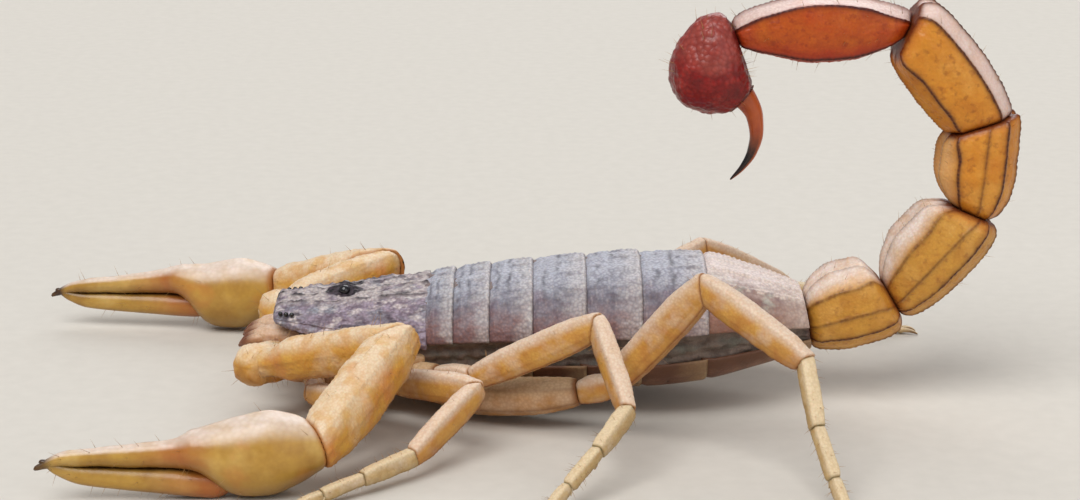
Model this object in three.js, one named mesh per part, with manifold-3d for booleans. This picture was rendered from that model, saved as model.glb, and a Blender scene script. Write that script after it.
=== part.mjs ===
// A life-size Indian red scorpion, standing with its pincers on the floor and its tail over its back.
//
// Millimetres. +Z is up and the floor is z = 0. The head points along -X and the left side along -Y.
// Every piece is worked out in the animal's frame and then hung in the frame of the joint it grows from.

import * as THREE from 'three';
import { mergeVertices } from 'three/addons/utils/BufferGeometryUtils.js';
import Module from 'manifold-3d';

const wasm = await Module();
wasm.setup();

// ---------------------------------------------------------------- sizes

const GAP = 0.3;
const EYE_GAP = 0.12;
const UP = new THREE.Vector3(0, 0, 1);
const ACROSS = new THREE.Vector3(0, 1, 0);
const LEFT = -1;
const RIGHT = 1;

/** Cuts across the trunk: place along X, half the width, and the heights of the back and the belly. */
const TRUNK = [
	{ x: -6.5, half: 4.6, back: 7.3, belly: 1.6 },
	{ x: -2.9, half: 4.95, back: 7.8, belly: 1.55 },
	{ x: 1.0, half: 5.25, back: 8.15, belly: 1.5 },
	{ x: 5.9, half: 5.3, back: 8.5, belly: 1.4 },
	{ x: 9.7, half: 4.75, back: 8.45, belly: 1.75 },
	{ x: 12.5, half: 3.85, back: 7.75, belly: 2.4 },
	{ x: 16.4, half: 2.1, back: 6.2, belly: 3.45 },
];
const SCUTE_EDGES = [-6.5, -5.0, -2.9, -0.4, 2.7, 5.9, 9.7, 16.2];
const SCUTE_STEP = 0.045;

/** Cuts across the head shield: half the width, the height of the top and of the underside. */
const SHIELD = [
	{ x: -15.7, half: 2.35, top: 5.9, under: 5.3 },
	{ x: -15.2, half: 2.75, top: 6.2, under: 5.15 },
	{ x: -13.6, half: 3.25, top: 6.45, under: 4.85 },
	{ x: -11.6, half: 3.75, top: 6.6, under: 4.5 },
	{ x: -9.4, half: 4.2, top: 6.95, under: 4.3 },
	{ x: -7.4, half: 4.55, top: 7.2, under: 4.3 },
	{ x: -6.5, half: 4.55, top: 7.25, under: 4.3 },
];
const EYE_MOUND = { x: -11.5, z: 6.25, length: 1.5, width: 1.4, height: 0.75 };
const EYE_RADIUS = 0.34;
const EYE_SEAT = { across: 0.52, lift: 0.42 };
const SIDE_EYES = { x: -14.7, across: 2.75, z: 5.85, spacing: 0.42, radius: 0.2 };

/** Where the tail starts, and the ways that the trunk and the sting's bulb go at its two ends. */
const TAIL_ROOT = new THREE.Vector3(15.7, 0, 4.9);
const TRUNK_WAY = new THREE.Vector3(1, 0, 0.1);
const BULB_WAY = new THREE.Vector3(-0.75, 0, -0.65);
/**
 * The tail's rings in order from the trunk: length, pitch from +X up, lean to the right, width and depth,
 * the shares of those that are left at the two waists, and how far the middle bows up.
 */
const TAIL = [
	{ length: 5.15, pitch: 14.5, lean: 1, width: 4.9, depth: 5.0, waists: [0.62, 0.65], bow: 0.3 },
	{ length: 6.8, pitch: 47.5, lean: 2, width: 4.75, depth: 4.9, waists: [0.6, 0.77], bow: 0.3 },
	{ length: 5.4, pitch: 85.5, lean: 3, width: 4.6, depth: 4.6, waists: [0.64, 1.0], bow: 0.1 },
	{ length: 7.3, pitch: 129, lean: -2, width: 4.5, depth: 4.7, waists: [0.84, 0.76], bow: -0.25 },
	{ length: 10.0, pitch: 181, lean: -2, width: 4.1, depth: 4.0, waists: [0.52, 0.5], bow: 0.2 },
];

/**
 * The sting's bulb: its middle, back along X and down from the last tail joint, its radii, and the two
 * swellings that meet the tail and the sting, each with its turn from -X down, height and spread in degrees.
 */
const BULB = {
	back: -1.33, down: 2.47, radius: 2.36, across: 2.1,
	swellings: [{ turn: -100, height: 1.15, spread: 38 }, { turn: 141, height: 1.0, spread: 24 }],
};
/** The sting's point: places from the last tail joint, back along X and down, and radii. */
const STING = [
	{ back: 0.1, down: 3.5, radius: 0.95 },
	{ back: 0.85, down: 4.15, radius: 0.66 },
	{ back: 1.32, down: 5.05, radius: 0.5 },
	{ back: 1.45, down: 6.1, radius: 0.4 },
	{ back: 1.22, down: 7.15, radius: 0.3 },
	{ back: 0.7, down: 8.05, radius: 0.18 },
	{ back: 0.0, down: 8.8, radius: 0.05 },
];

/** Where each leg's hip piece starts at the breast, bows and ends, on the right side. */
const COXAE = [
	{ from: [-12.6, 1.2, 2.1], bow: [-12.9, 2.8, 2.1], to: [-12.8, 4.4, 2.2], radius: 0.95 },
	{ from: [-10.6, 1.4, 2.0], bow: [-10.4, 3.6, 2.2], to: [-10.2, 5.2, 2.6], radius: 1.0 },
	{ from: [-8.6, 1.5, 1.9], bow: [-7.4, 4.0, 2.2], to: [-5.8, 5.1, 2.9], radius: 0.95 },
	{ from: [-6.6, 1.5, 1.7], bow: [-4.0, 5.7, 1.3], to: [2.2, 6.4, 2.35], radius: 1.15 },
];
const LEG_SCALE = [0.8, 0.92, 1.0, 1.08];

/** Joints of the legs: end of the trochanter, knee, end of the patella, toe, and bow of the shin. */
const LEG_POSES = [
	{ side: LEFT, number: 1, seat: [-13.0, 6.4, 2.3], knee: [-10.5, 9.6, 2.7], ankle: [-12.5, 12.3, 1.9],
		toe: [-16.6, 12.6, 0.3], bow: [-0.1, 0.1, 0.3] },
	{ side: LEFT, number: 2, seat: [-8.4, 6.4, 3.0], knee: [-3.54, 10.0, 3.6], ankle: [-6.84, 14.3, 1.3],
		toe: [-12.8, 19.1, 0.3], bow: [0.1, 0.2, 0.1] },
	{ side: LEFT, number: 3, seat: [-3.8, 6.5, 3.2], knee: [3.2, 9.2, 7.15], ankle: [4.73, 14.0, 3.8],
		toe: [0.3, 19.8, 0.3], bow: [0.3, 0.2, 0.3] },
	{ side: LEFT, number: 4, seat: [4.1, 7.0, 2.95], knee: [9.0, 10.0, 9.6], ankle: [14.15, 14.5, 6.7],
		toe: [15.9, 20.2, 0.3], bow: [-0.35, -0.2, 0.0] },
	{ side: RIGHT, number: 1, seat: [-13.0, 6.4, 2.3], knee: [-10.6, 9.3, 2.5], ankle: [-12.4, 11.4, 1.5],
		toe: [-16.0, 10.4, 0.3], bow: [0, 0, 0.35] },
	{ side: RIGHT, number: 2, seat: [-8.7, 6.6, 2.7], knee: [-6.3, 12.0, 3.4], ankle: [-8.6, 16.6, 1.9],
		toe: [-11.2, 22.3, 0.3], bow: [0, 0, 0.5] },
	{ side: RIGHT, number: 3, seat: [-3.9, 6.7, 3.0], knee: [1.6, 11.6, 4.4], ankle: [5.0, 15.8, 3.0],
		toe: [7.6, 22.3, 0.3], bow: [0, 0, 0.6] },
	{ side: RIGHT, number: 4, seat: [3.7, 7.2, 2.6], knee: [10.3, 9.5, 6.5], ankle: [16.1, 12.2, 3.1],
		toe: [23.4, 12.6, 0.3], bow: [0, 0, 0.7] },
];

/** Joints of the pincer arms, and how high the jaws part at the knuckle, below the line to the tip. */
const ARM_COXA = { from: [-12.9, 1.4, 2.7], bow: [-14.2, 2.2, 2.9], to: [-14.8, 3.4, 3.4], radius: 1.3 };
const ARM_POSES = [
	{ side: LEFT, seat: [-16.4, 5.8, 3.75], elbow: [-7.8, 9.2, 6.1], wrist: [-11.8, 16.2, 2.55],
		tip: [-26.5, 17.7, 2.05], parting: -0.8 },
	{ side: RIGHT, seat: [-16.3, 5.7, 3.75], elbow: [-9.8, 9.4, 5.3], wrist: [-16.9, 13.6, 2.65],
		tip: [-32.0, 14.8, 2.15], parting: -0.1 },
];

// ---------------------------------------------------------------- finishes

const FINISHES = {
	shield: { color: 0x8b7f88, roughness: 0.6 },
	back: { color: 0x8e8a92, roughness: 0.6 },
	breast: { color: 0xb08050, roughness: 0.55 },
	jaw: { color: 0xc9a070, roughness: 0.45 },
	eye: { color: 0x0c0a0c, roughness: 0.1 },
	arm: { color: 0xd8a86a, roughness: 0.45 },
	hand: { color: 0xc9a254, roughness: 0.35 },
	leg: { color: 0xd9b486, roughness: 0.5 },
	foot: { color: 0xd2c8a6, roughness: 0.5 },
	comb: { color: 0xd8c098, roughness: 0.6 },
	tail: { color: 0xcc8c3c, roughness: 0.45 },
	tail_end: { color: 0xb8561f, roughness: 0.4 },
	bulb: { color: 0x8a2a28, roughness: 0.3 },
	sting: { color: 0x5a2418, roughness: 0.25 },
};

for (const [name, finish] of Object.entries(FINISHES)) {
	FINISHES[name] = new THREE.MeshStandardMaterial({ name, metalness: 0, ...finish });
}

// ---------------------------------------------------------------- solids

/** The closed solid of a geometry. */
function solidOf(geometry) {
	geometry.deleteAttribute('normal');
	geometry.deleteAttribute('uv');
	const merged = mergeVertices(geometry, 1e-4);
	return new wasm.Manifold(new wasm.Mesh({
		numProp: 3,
		vertProperties: merged.getAttribute('position').array,
		triVerts: new Uint32Array(merged.index.array),
	}));
}

/** The largest closed surface of a solid. */
function largest(solid) {
	return solid.decompose().reduce((best, piece) => (piece.volume() > best.volume() ? piece : best));
}

/** One solid of all the pieces. */
function join(...pieces) {
	return pieces.reduce((whole, piece) => whole.add(piece));
}

/** A right-handed frame at a point, +X along the direction and +Z as near `up` as can be. */
function frameAt(point, direction, up = UP) {
	const x = direction.clone().normalize();
	const y = up.clone().cross(x).normalize();
	const z = x.clone().cross(y);
	return new THREE.Matrix4().makeBasis(x, y, z).setPosition(point);
}

/** The plane of a joint, square to the middle of the directions that meet in it. */
function jointAt(point, before, after) {
	const normal = before.clone().normalize().add(after.clone().normalize()).normalize();
	return new THREE.Plane().setFromNormalAndCoplanarPoint(normal, point);
}

/** What lies past a joint, half a gap off it. */
function past(solid, joint) {
	return solid.trimByPlane(joint.normal.toArray(), GAP / 2 - joint.constant);
}

/** What lies before a joint, half a gap off it. */
function before(solid, joint) {
	return solid.trimByPlane(joint.normal.clone().negate().toArray(), GAP / 2 + joint.constant);
}

/** What stands above the floor. */
function aboveFloor(solid) {
	return solid.trimByPlane(UP.toArray(), 0);
}

/** An oval section of so many corners, from +Y towards +Z; `square` under 1 fills its corners out. */
function oval(sides, square = 1) {
	const bend = (value) => Math.sign(value) * Math.abs(value) ** square;
	return Array.from({ length: sides }, (_, i) => {
		const turn = (i / sides) * 2 * Math.PI;
		return new THREE.Vector2(bend(Math.cos(turn)), bend(Math.sin(turn)));
	});
}

/** A section that is the same on both sides, from its half listed top to bottom on the +Y side. */
function mirrored(half) {
	const right = half.map(([y, z]) => new THREE.Vector2(y, z));
	const left = right.slice(1, -1).map(({ x, y }) => new THREE.Vector2(-x, y));
	return [...right.reverse(), ...left];
}

/**
 * A closed body through a row of stations, each with its frame (+X along the body), half its width and
 * half its height. `section` lists the corners of its wall in units of those two, from +Y towards +Z.
 */
function loft(stations, section) {
	const geometry = new THREE.CylinderGeometry(1, 1, 1, section.length, stations.length - 1);
	const corners = geometry.getAttribute('position');
	const corner = new THREE.Vector3();
	for (let i = 0; i < corners.count; i++) {
		corner.fromBufferAttribute(corners, i);
		const station = stations[Math.round((corner.y + 0.5) * (stations.length - 1))];
		const turn = Math.atan2(corner.x, corner.z) / (2 * Math.PI);
		const place = section[(Math.round(turn * section.length) + section.length) % section.length];
		const reach = Math.hypot(corner.x, corner.z) > 0.5 ? 1 : 0;
		corner.set(0, place.x * station.width * reach, place.y * station.height * reach);
		corner.applyMatrix4(station.frame);
		corners.setXYZ(i, corner.x, corner.y, corner.z);
	}
	return solidOf(geometry);
}

/**
 * A straight length of a limb. `form` lists where along it (0 to 1), its width and its height in shares
 * of the size; `ends` says how far it bulges past each joint, in shares of half the height.
 */
function limb(from, to, size, form, section, ends = 0.75) {
	const along = to.clone().sub(from);
	const length = along.length();
	const frame = frameAt(from, along);
	const bulge = (ends * size.height) / 2;
	const [first, last] = [form[0], form[form.length - 1]];
	const stations = [
		[-bulge, 0.45 * first[1], 0.45 * first[2]],
		...form.map(([at, width, height]) => [at * length, width, height]),
		[length + bulge, 0.45 * last[1], 0.45 * last[2]],
	].map(([x, width, height]) => ({
		frame: frame.clone().multiply(new THREE.Matrix4().makeTranslation(x, 0, 0)),
		width: (width * size.width) / 2,
		height: (height * size.height) / 2,
	}));
	return loft(stations, section);
}

/** A round body along a smooth curve, its radii spread evenly over the curve's length. */
function horn(curve, radii, sides, up = UP, flat = 1) {
	const stations = radii.map((radius, i) => {
		const share = i / (radii.length - 1);
		const frame = frameAt(curve.getPoint(share), curve.getTangent(share), up);
		return { frame, width: radius * flat, height: radius };
	});
	return loft(stations, oval(sides));
}

/** A smooth curve and the radii along it, from a list of places and radii measured from a point. */
function hornFrom(list, origin) {
	const points = list.map(({ back, down }) => new THREE.Vector3(back, 0, -down).add(origin));
	return { curve: new THREE.CatmullRomCurve3(points), radii: list.map(({ radius }) => radius) };
}

/** A ball or egg, its half sizes along X, Y and Z. */
function egg(middle, halfX, halfY, halfZ, sides = 12) {
	const geometry = new THREE.SphereGeometry(1, sides, Math.round(sides * 0.6));
	geometry.scale(halfX, halfY, halfZ);
	geometry.translate(middle.x, middle.y, middle.z);
	return solidOf(geometry);
}

/** A point given for the right side, on the side asked for. */
function onSide(side, [x, y, z]) {
	return new THREE.Vector3(x, side * y, z);
}

const sideName = (side) => (side === LEFT ? 'left' : 'right');

/** The solid as a mesh of its own, hung in the frame of the joint that it grows from. */
function nodeOf(name, solid, seat, finish) {
	const { vertProperties, triVerts } = largest(solid).getMesh();
	const geometry = new THREE.BufferGeometry();
	geometry.setAttribute('position', new THREE.BufferAttribute(vertProperties, 3));
	geometry.setIndex(new THREE.BufferAttribute(triVerts, 1));
	geometry.applyMatrix4(seat.clone().invert());
	geometry.computeVertexNormals();
	const mesh = new THREE.Mesh(geometry, finish);
	mesh.name = name;
	seat.decompose(mesh.position, mesh.quaternion, mesh.scale);
	return mesh;
}

// ---------------------------------------------------------------- trunk

/** The trunk's sizes at any place along it, from the cuts on either side of it. */
function between(cuts, x) {
	const next = Math.max(1, cuts.findIndex((cut, i) => i > 0 && cut.x >= x));
	const [a, b] = [cuts[next - 1], cuts[next]];
	const share = (x - a.x) / (b.x - a.x);
	return Object.fromEntries(Object.keys(a).map((key) => [key, THREE.MathUtils.lerp(a[key], b[key], share)]));
}

/** Half the outline of a trunk ring: the back plate with its keels, the soft side, the belly plate. */
const RING_HALF = [
	[0, 1.03], [0.06, 0.98], [0.3, 0.955], [0.36, 0.99], [0.42, 0.92], [0.68, 0.78], [0.88, 0.5],
	[0.99, 0.14], [0.985, 0.04], [0.9, 0.0], [0.86, -0.24], [0.83, -0.4], [0.89, -0.44],
	[0.82, -0.68], [0.6, -0.9], [0.3, -0.985], [0, -1],
];

/** A ring of the trunk at a place along it, `share` of its full size. */
function trunkStation(x, share) {
	const { half, back, belly } = between(TRUNK, x);
	const frame = frameAt(new THREE.Vector3(x, 0, (back + belly) / 2), new THREE.Vector3(1, 0, 0));
	return { frame, width: half * share, height: ((back - belly) / 2) * share };
}

/** One ring of the trunk, its plates standing proud towards their rear edge. */
function trunkRing(number) {
	const [front, rear] = [SCUTE_EDGES[number - 1], SCUTE_EDGES[number]];
	const last = number === SCUTE_EDGES.length - 1;
	const at = (share) => front + GAP / 2 + (rear - front - (last ? 0 : GAP)) * share;
	const stations = [
		trunkStation(at(0), 1 - SCUTE_STEP),
		trunkStation(at(0.3), 1 - SCUTE_STEP / 2),
		trunkStation(at(0.88), 1),
		trunkStation(at(1), 1 - SCUTE_STEP / 4),
	];
	const coxae = [LEFT, RIGHT].flatMap((side) => COXAE.slice(2).map((hip) => coxa(hip, side, GAP)));
	const ring = loft(stations, mirrored(RING_HALF)).subtract(join(...coxae));
	const solid = last ? before(ring, jointAt(TAIL_ROOT, TRUNK_WAY, tailway(TAIL[0]))) : ring;
	const seat = new THREE.Matrix4().makeTranslation(front, 0, TAIL_ROOT.z);
	return nodeOf(`mesosoma_${number}`, solid, seat, FINISHES.back);
}

// ---------------------------------------------------------------- head shield, eyes and jaws

/** Half the outline of the head shield, top to bottom. */
const SHIELD_HALF = [
	[0, 0.9], [0.1, 0.98], [0.17, 1.0], [0.26, 0.9], [0.4, 0.84], [0.48, 0.86], [0.58, 0.7],
	[0.8, 0.3], [0.95, -0.3], [1, -0.75], [0.97, -1], [0.5, -1], [0, -1],
];

function eyeSeat(side) {
	const { x, z } = EYE_MOUND;
	return new THREE.Vector3(x, side * EYE_SEAT.across, z + EYE_SEAT.lift);
}

function headShield() {
	const stations = SHIELD.map(({ x, half, top, under }, i) => {
		const inset = [0, SHIELD.length - 1].includes(i) ? (GAP / 2) * Math.sign(SHIELD[3].x - x) : 0;
		const frame = frameAt(new THREE.Vector3(x + inset, 0, (top + under) / 2), new THREE.Vector3(1, 0, 0));
		return { frame, width: half, height: (top - under) / 2 };
	});
	const { x, z, length, width, height } = EYE_MOUND;
	const mound = egg(new THREE.Vector3(x, 0, z), length, width / 2, height);
	const sideEyes = [LEFT, RIGHT].flatMap((side) => [-1, 0, 1].map((step) => {
		const middle = onSide(side, [SIDE_EYES.x + step * SIDE_EYES.spacing,
			SIDE_EYES.across + step * 0.1, SIDE_EYES.z]);
		return egg(middle, SIDE_EYES.radius, SIDE_EYES.radius, SIDE_EYES.radius, 6);
	}));
	const room = EYE_RADIUS + EYE_GAP;
	const sockets = [LEFT, RIGHT].map((side) => egg(eyeSeat(side), room, room, room, 10));
	const solid = join(loft(stations, mirrored(SHIELD_HALF)), mound, ...sideEyes).subtract(join(...sockets));
	return nodeOf('carapace', solid, new THREE.Matrix4().makeTranslation(x, 0, z), FINISHES.shield);
}

function medianEye(side) {
	const middle = eyeSeat(side);
	const solid = egg(middle, EYE_RADIUS, EYE_RADIUS, EYE_RADIUS, 10);
	const seat = new THREE.Matrix4().setPosition(middle);
	return nodeOf(`eye_median_${sideName(side)}`, solid, seat, FINISHES.eye);
}

const JAW = { x: -14.0, across: 1.1, z: 3.95, length: 2.5, width: 1.85, height: 1.6, fingers: 1.4 };

/** A chelicera: a short barrel with a fixed and a moving claw, bent in and down. */
function chelicera(side) {
	const root = onSide(side, [JAW.x, JAW.across, JAW.z]);
	const knuckle = onSide(side, [JAW.x - JAW.length, JAW.across, JAW.z]);
	const barrel = limb(root, knuckle, JAW, [[0, 0.85, 0.85], [0.35, 1, 1], [0.8, 0.95, 0.95], [1, 0.8, 0.8]],
		oval(10, 0.85), 0.3);
	const claws = [-1, 1].map((which) => {
		const bend = (share, out, drop) => onSide(side, [
			knuckle.x + 0.5 - JAW.fingers * share,
			JAW.across + which * out,
			JAW.z + 0.1 - drop,
		]);
		const curve = new THREE.QuadraticBezierCurve3(bend(0, 0.3, 0), bend(0.9, 0.55, 0.1),
			bend(1.35, 0.12, 0.6));
		return horn(curve, [0.4, 0.34, 0.25, 0.1], 6);
	});
	const back = new THREE.Plane(new THREE.Vector3(-1, 0, 0), JAW.x);
	const solid = past(join(barrel, ...claws), back).subtract(coxa(ARM_COXA, side, GAP));
	const seat = new THREE.Matrix4().setPosition(root);
	return nodeOf(`chelicera_${sideName(side)}`, solid, seat, FINISHES.jaw);
}

// ---------------------------------------------------------------- breast

/** The radius along a hip piece, in shares of its own, and the length from which a piece is a long one. */
const HIP_SHORT = [0.85, 1.05, 1, 0.55];
const HIP_LONG = [0.85, 1, 1.05, 1, 0.95, 0.55];
const HIP_LONG_FROM = 5;

/** A hip piece on one side, curved from the breast out, fattened by `extra` all round and at its ends. */
function coxa({ from, bow, to, radius }, side, extra = 0) {
	const [start, middle, end] = [from, bow, to].map((point) => onSide(side, point));
	const shares = start.distanceTo(end) > HIP_LONG_FROM ? HIP_LONG : HIP_SHORT;
	for (const point of [start, end]) {
		point.addScaledVector(point.clone().sub(middle).normalize(), extra);
	}
	const curve = new THREE.QuadraticBezierCurve3(start, middle, end);
	return horn(curve, shares.map((share) => share * radius + extra), 8);
}

/** The joint between a hip piece and the limb that goes on from it. */
function hipJoint({ bow, to }, side, onward) {
	const end = onSide(side, to);
	return jointAt(end, end.clone().sub(onSide(side, bow)), onward.clone().sub(end));
}

function breast() {
	const core = [
		{ x: -14.2, half: 2.2, top: 3.0, under: 1.9 },
		{ x: -13.2, half: 2.6, top: 3.1, under: 1.5 },
		{ x: -12.6, half: 2.9, top: 4.0, under: 1.4 },
		{ x: -9.4, half: 3.9, top: 4.0, under: 1.2 },
		{ x: -6.5 - GAP / 2, half: 4.35, top: 4.0, under: 1.2 },
	].map(({ x, half, top, under }) => ({
		frame: frameAt(new THREE.Vector3(x, 0, (top + under) / 2), new THREE.Vector3(1, 0, 0)),
		width: half,
		height: (top - under) / 2,
	}));
	const hips = [LEFT, RIGHT].flatMap((side) => {
		const legs = LEG_POSES.filter((pose) => pose.side === side);
		const arm = ARM_POSES.find((pose) => pose.side === side);
		return [
			...legs.map(({ seat, number }) => before(coxa(COXAE[number - 1], side),
				hipJoint(COXAE[number - 1], side, onSide(side, seat)))),
			before(coxa(ARM_COXA, side), hipJoint(ARM_COXA, side, onSide(side, arm.seat))),
		];
	});
	const sternum = egg(new THREE.Vector3(-8.6, 0, 1.45), 1.7, 1.0, 0.6, 8);
	const lid = egg(new THREE.Vector3(-6.3, 0, 1.0), 1.3, 1.2, 0.4, 8);
	const solid = join(loft(core, oval(16, 0.6)), ...hips, sternum, lid);
	return nodeOf('coxosternum', solid, new THREE.Matrix4().makeTranslation(-9, 0, 2), FINISHES.breast);
}

/** A comb organ: a bar with a row of teeth along its inner, rear edge. */
const COMB = {
	from: [-4.6, 1.2, 0.95], to: [0.6, 4.0, 1.4], width: 0.9, height: 0.6, teeth: 11, reach: 0.75,
};

function comb(side) {
	const [from, to] = [onSide(side, COMB.from), onSide(side, COMB.to)];
	const bar = limb(from, to, COMB, [[0, 0.8, 1], [0.5, 1, 1], [1, 0.5, 0.9]], oval(8, 0.7), 0.2);
	const along = to.clone().sub(from);
	const inward = along.clone().cross(UP).normalize().multiplyScalar(side);
	const teeth = Array.from({ length: COMB.teeth }, (_, i) => {
		const share = 0.08 + (0.88 * i) / (COMB.teeth - 1);
		const root = from.clone().addScaledVector(along, share).addScaledVector(inward, 0.1);
		const length = COMB.reach * (1 - 0.35 * share) + 0.1;
		const end = root.clone().addScaledVector(inward, length);
		return horn(new THREE.LineCurve3(root, end), [0.25, 0.25, 0.18], 4);
	});
	const seat = frameAt(from, along);
	return nodeOf(`pecten_${sideName(side)}`, join(bar, ...teeth), seat, FINISHES.comb);
}

// ---------------------------------------------------------------- tail

/** Half the outline of a tail ring with its ten keels, from the back to the underside. */
const KEELED_HALF = [
	[0, 0.8], [0.3, 0.86], [0.42, 1.0], [0.54, 0.88], [0.8, 0.68], [0.93, 0.62], [0.93, 0.44],
	[0.93, 0.12], [1.0, 0.05], [0.92, -0.06], [0.88, -0.48], [0.86, -0.64], [0.7, -0.74],
	[0.46, -0.9], [0.34, -1.0], [0.22, -0.9], [0, -0.88],
];
/** The same for the last ring, with its five keels. */
const LAST_HALF = [
	[0, 0.82], [0.36, 0.84], [0.72, 0.82], [0.86, 0.7], [0.96, 0.3], [1.0, 0.0], [0.94, -0.4],
	[0.86, -0.66], [0.68, -0.72], [0.36, -0.84], [0.12, -0.9], [0, -1.02],
];
/** How far each ring has filled out from its waists, along its length. */
const RING_FORM = [[0, 0], [0.17, 0.58], [0.45, 1.02], [0.86, 0.97], [1, 0]];
const LAST_FORM = [[0, 0], [0.12, 0.5], [0.32, 0.93], [0.55, 1], [0.77, 0.7], [0.93, 0.22], [1, 0]];

/** The direction of a length of the tail. */
function tailway({ pitch, lean }) {
	const [rise, sway] = [pitch, lean].map(THREE.MathUtils.degToRad);
	return new THREE.Vector3(Math.cos(rise) * Math.cos(sway), Math.sin(sway), Math.sin(rise) * Math.cos(sway));
}

/** The joints of the tail, from the trunk to the sting. */
function tailJoints() {
	const joints = [TAIL_ROOT.clone()];
	for (const ring of TAIL) {
		joints.push(joints[joints.length - 1].clone().addScaledVector(tailway(ring), ring.length));
	}
	return joints;
}

/** The tail's own up for a ring: square to its way, in the plane that the tail curls in. */
function tailUp({ pitch }) {
	const rise = THREE.MathUtils.degToRad(pitch + 90);
	return new THREE.Vector3(Math.cos(rise), 0, Math.sin(rise));
}

function tailRings() {
	const joints = tailJoints();
	const ways = [TRUNK_WAY, ...TAIL.map(tailway), BULB_WAY];
	return TAIL.map((ring, i) => {
		const last = i === TAIL.length - 1;
		const up = tailUp(ring);
		const start = jointAt(joints[i], ways[i], ways[i + 1]);
		const end = jointAt(joints[i + 1], ways[i + 1], ways[i + 2]);
		const [bulge, form] = last ? [0.4, LAST_FORM] : [0.7, RING_FORM];
		const body = form.map(([at, full]) => {
			const share = THREE.MathUtils.lerp(ring.waists[Math.round(at)], 1, full);
			return [at, ring.bow * (full - 0.5), share];
		});
		const ends = [
			[-0.7 / ring.length, -ring.bow / 2, 0.5], ...body, [1 + bulge / ring.length, -ring.bow / 2, 0.45],
		];
		const stations = ends.map(([at, lift, share]) => {
			const way = start.normal.clone().lerp(end.normal, THREE.MathUtils.clamp(at, 0, 1));
			const place = joints[i].clone().lerp(joints[i + 1], at).addScaledVector(up, lift);
			const [width, height] = [(share * ring.width) / 2, (share * ring.depth) / 2];
			return { frame: frameAt(place, way, up), width, height };
		});
		const solid = before(past(loft(stations, mirrored(last ? LAST_HALF : KEELED_HALF)), start), end);
		const finish = last ? FINISHES.tail_end : FINISHES.tail;
		return nodeOf(`metasoma_${i + 1}`, solid, frameAt(joints[i], ways[i + 1], up), finish);
	});
}

/** The sting's bulb, a ball that swells towards the tail and towards the sting's point. */
function bulb(origin) {
	const geometry = new THREE.SphereGeometry(1, 18, 10);
	geometry.rotateX(Math.PI / 2);
	const corners = geometry.getAttribute('position');
	const corner = new THREE.Vector3();
	const ways = BULB.swellings.map(({ turn }) => {
		const angle = THREE.MathUtils.degToRad(turn);
		return new THREE.Vector3(-Math.cos(angle), 0, -Math.sin(angle));
	});
	for (let i = 0; i < corners.count; i++) {
		corner.fromBufferAttribute(corners, i);
		const swell = BULB.swellings.reduce((sum, { height, spread }, j) => {
			const off = THREE.MathUtils.radToDeg(corner.angleTo(ways[j])) / spread;
			return sum + height * Math.exp(-off * off);
		}, BULB.radius);
		corner.set(corner.x * swell, corner.y * BULB.across * (swell / BULB.radius), corner.z * swell);
		corners.setXYZ(i, corner.x + origin.x + BULB.back, corner.y + origin.y, corner.z + origin.z - BULB.down);
	}
	return solidOf(geometry);
}

function sting() {
	const joints = tailJoints();
	const origin = joints[joints.length - 1];
	const { curve, radii } = hornFrom(STING, origin);
	const neck = jointAt(origin, tailway(TAIL[TAIL.length - 1]), BULB_WAY);
	const way = new THREE.Vector3(0.75, 0, -0.66);
	const root = new THREE.Vector3(0.6, 0, -3.95).add(origin);
	const foot = jointAt(root, way, way);
	const bulbSolid = before(past(bulb(origin), neck), foot);
	const pointSolid = past(horn(curve, radii, 8, ACROSS), foot);
	return [
		nodeOf('vesicle', bulbSolid, frameAt(origin, way), FINISHES.bulb),
		nodeOf('aculeus', pointSolid, frameAt(root, way), FINISHES.sting),
	];
}

// ---------------------------------------------------------------- legs

const LEG_SIZES = {
	trochanter: { width: 1.25, height: 1.5 },
	femur: { width: 1.2, height: 1.9 },
	patella: { width: 1.2, height: 1.75 },
	tibia: { width: 0.95, height: 1.12 },
	basitarsus: { width: 0.75, height: 0.8 },
	tarsus: { width: 0.62, height: 0.66 },
};
const LEG_FORMS = {
	trochanter: [[0, 0.85, 0.8], [0.5, 1, 1], [1, 0.95, 0.85]],
	femur: [[0, 0.85, 0.72], [0.3, 1, 0.98], [0.7, 1, 1.05], [1, 0.85, 0.8]],
	patella: [[0, 0.85, 0.8], [0.3, 1, 1], [0.75, 0.95, 0.95], [1, 0.75, 0.66]],
	tibia: [[0, 0.9, 0.95], [0.3, 1, 1], [0.85, 0.9, 0.9], [1, 0.8, 0.75]],
	basitarsus: [[0, 0.9, 0.9], [0.9, 0.95, 0.95], [1, 0.75, 0.75]],
	tarsus: [[0, 0.85, 0.85], [0.4, 1, 1], [1, 0.7, 0.7]],
};
const SPUR = 0.75;
const CLAW = 0.95;

function scaled({ width, height }, share) {
	return { width: width * share, height: height * share };
}

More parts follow.
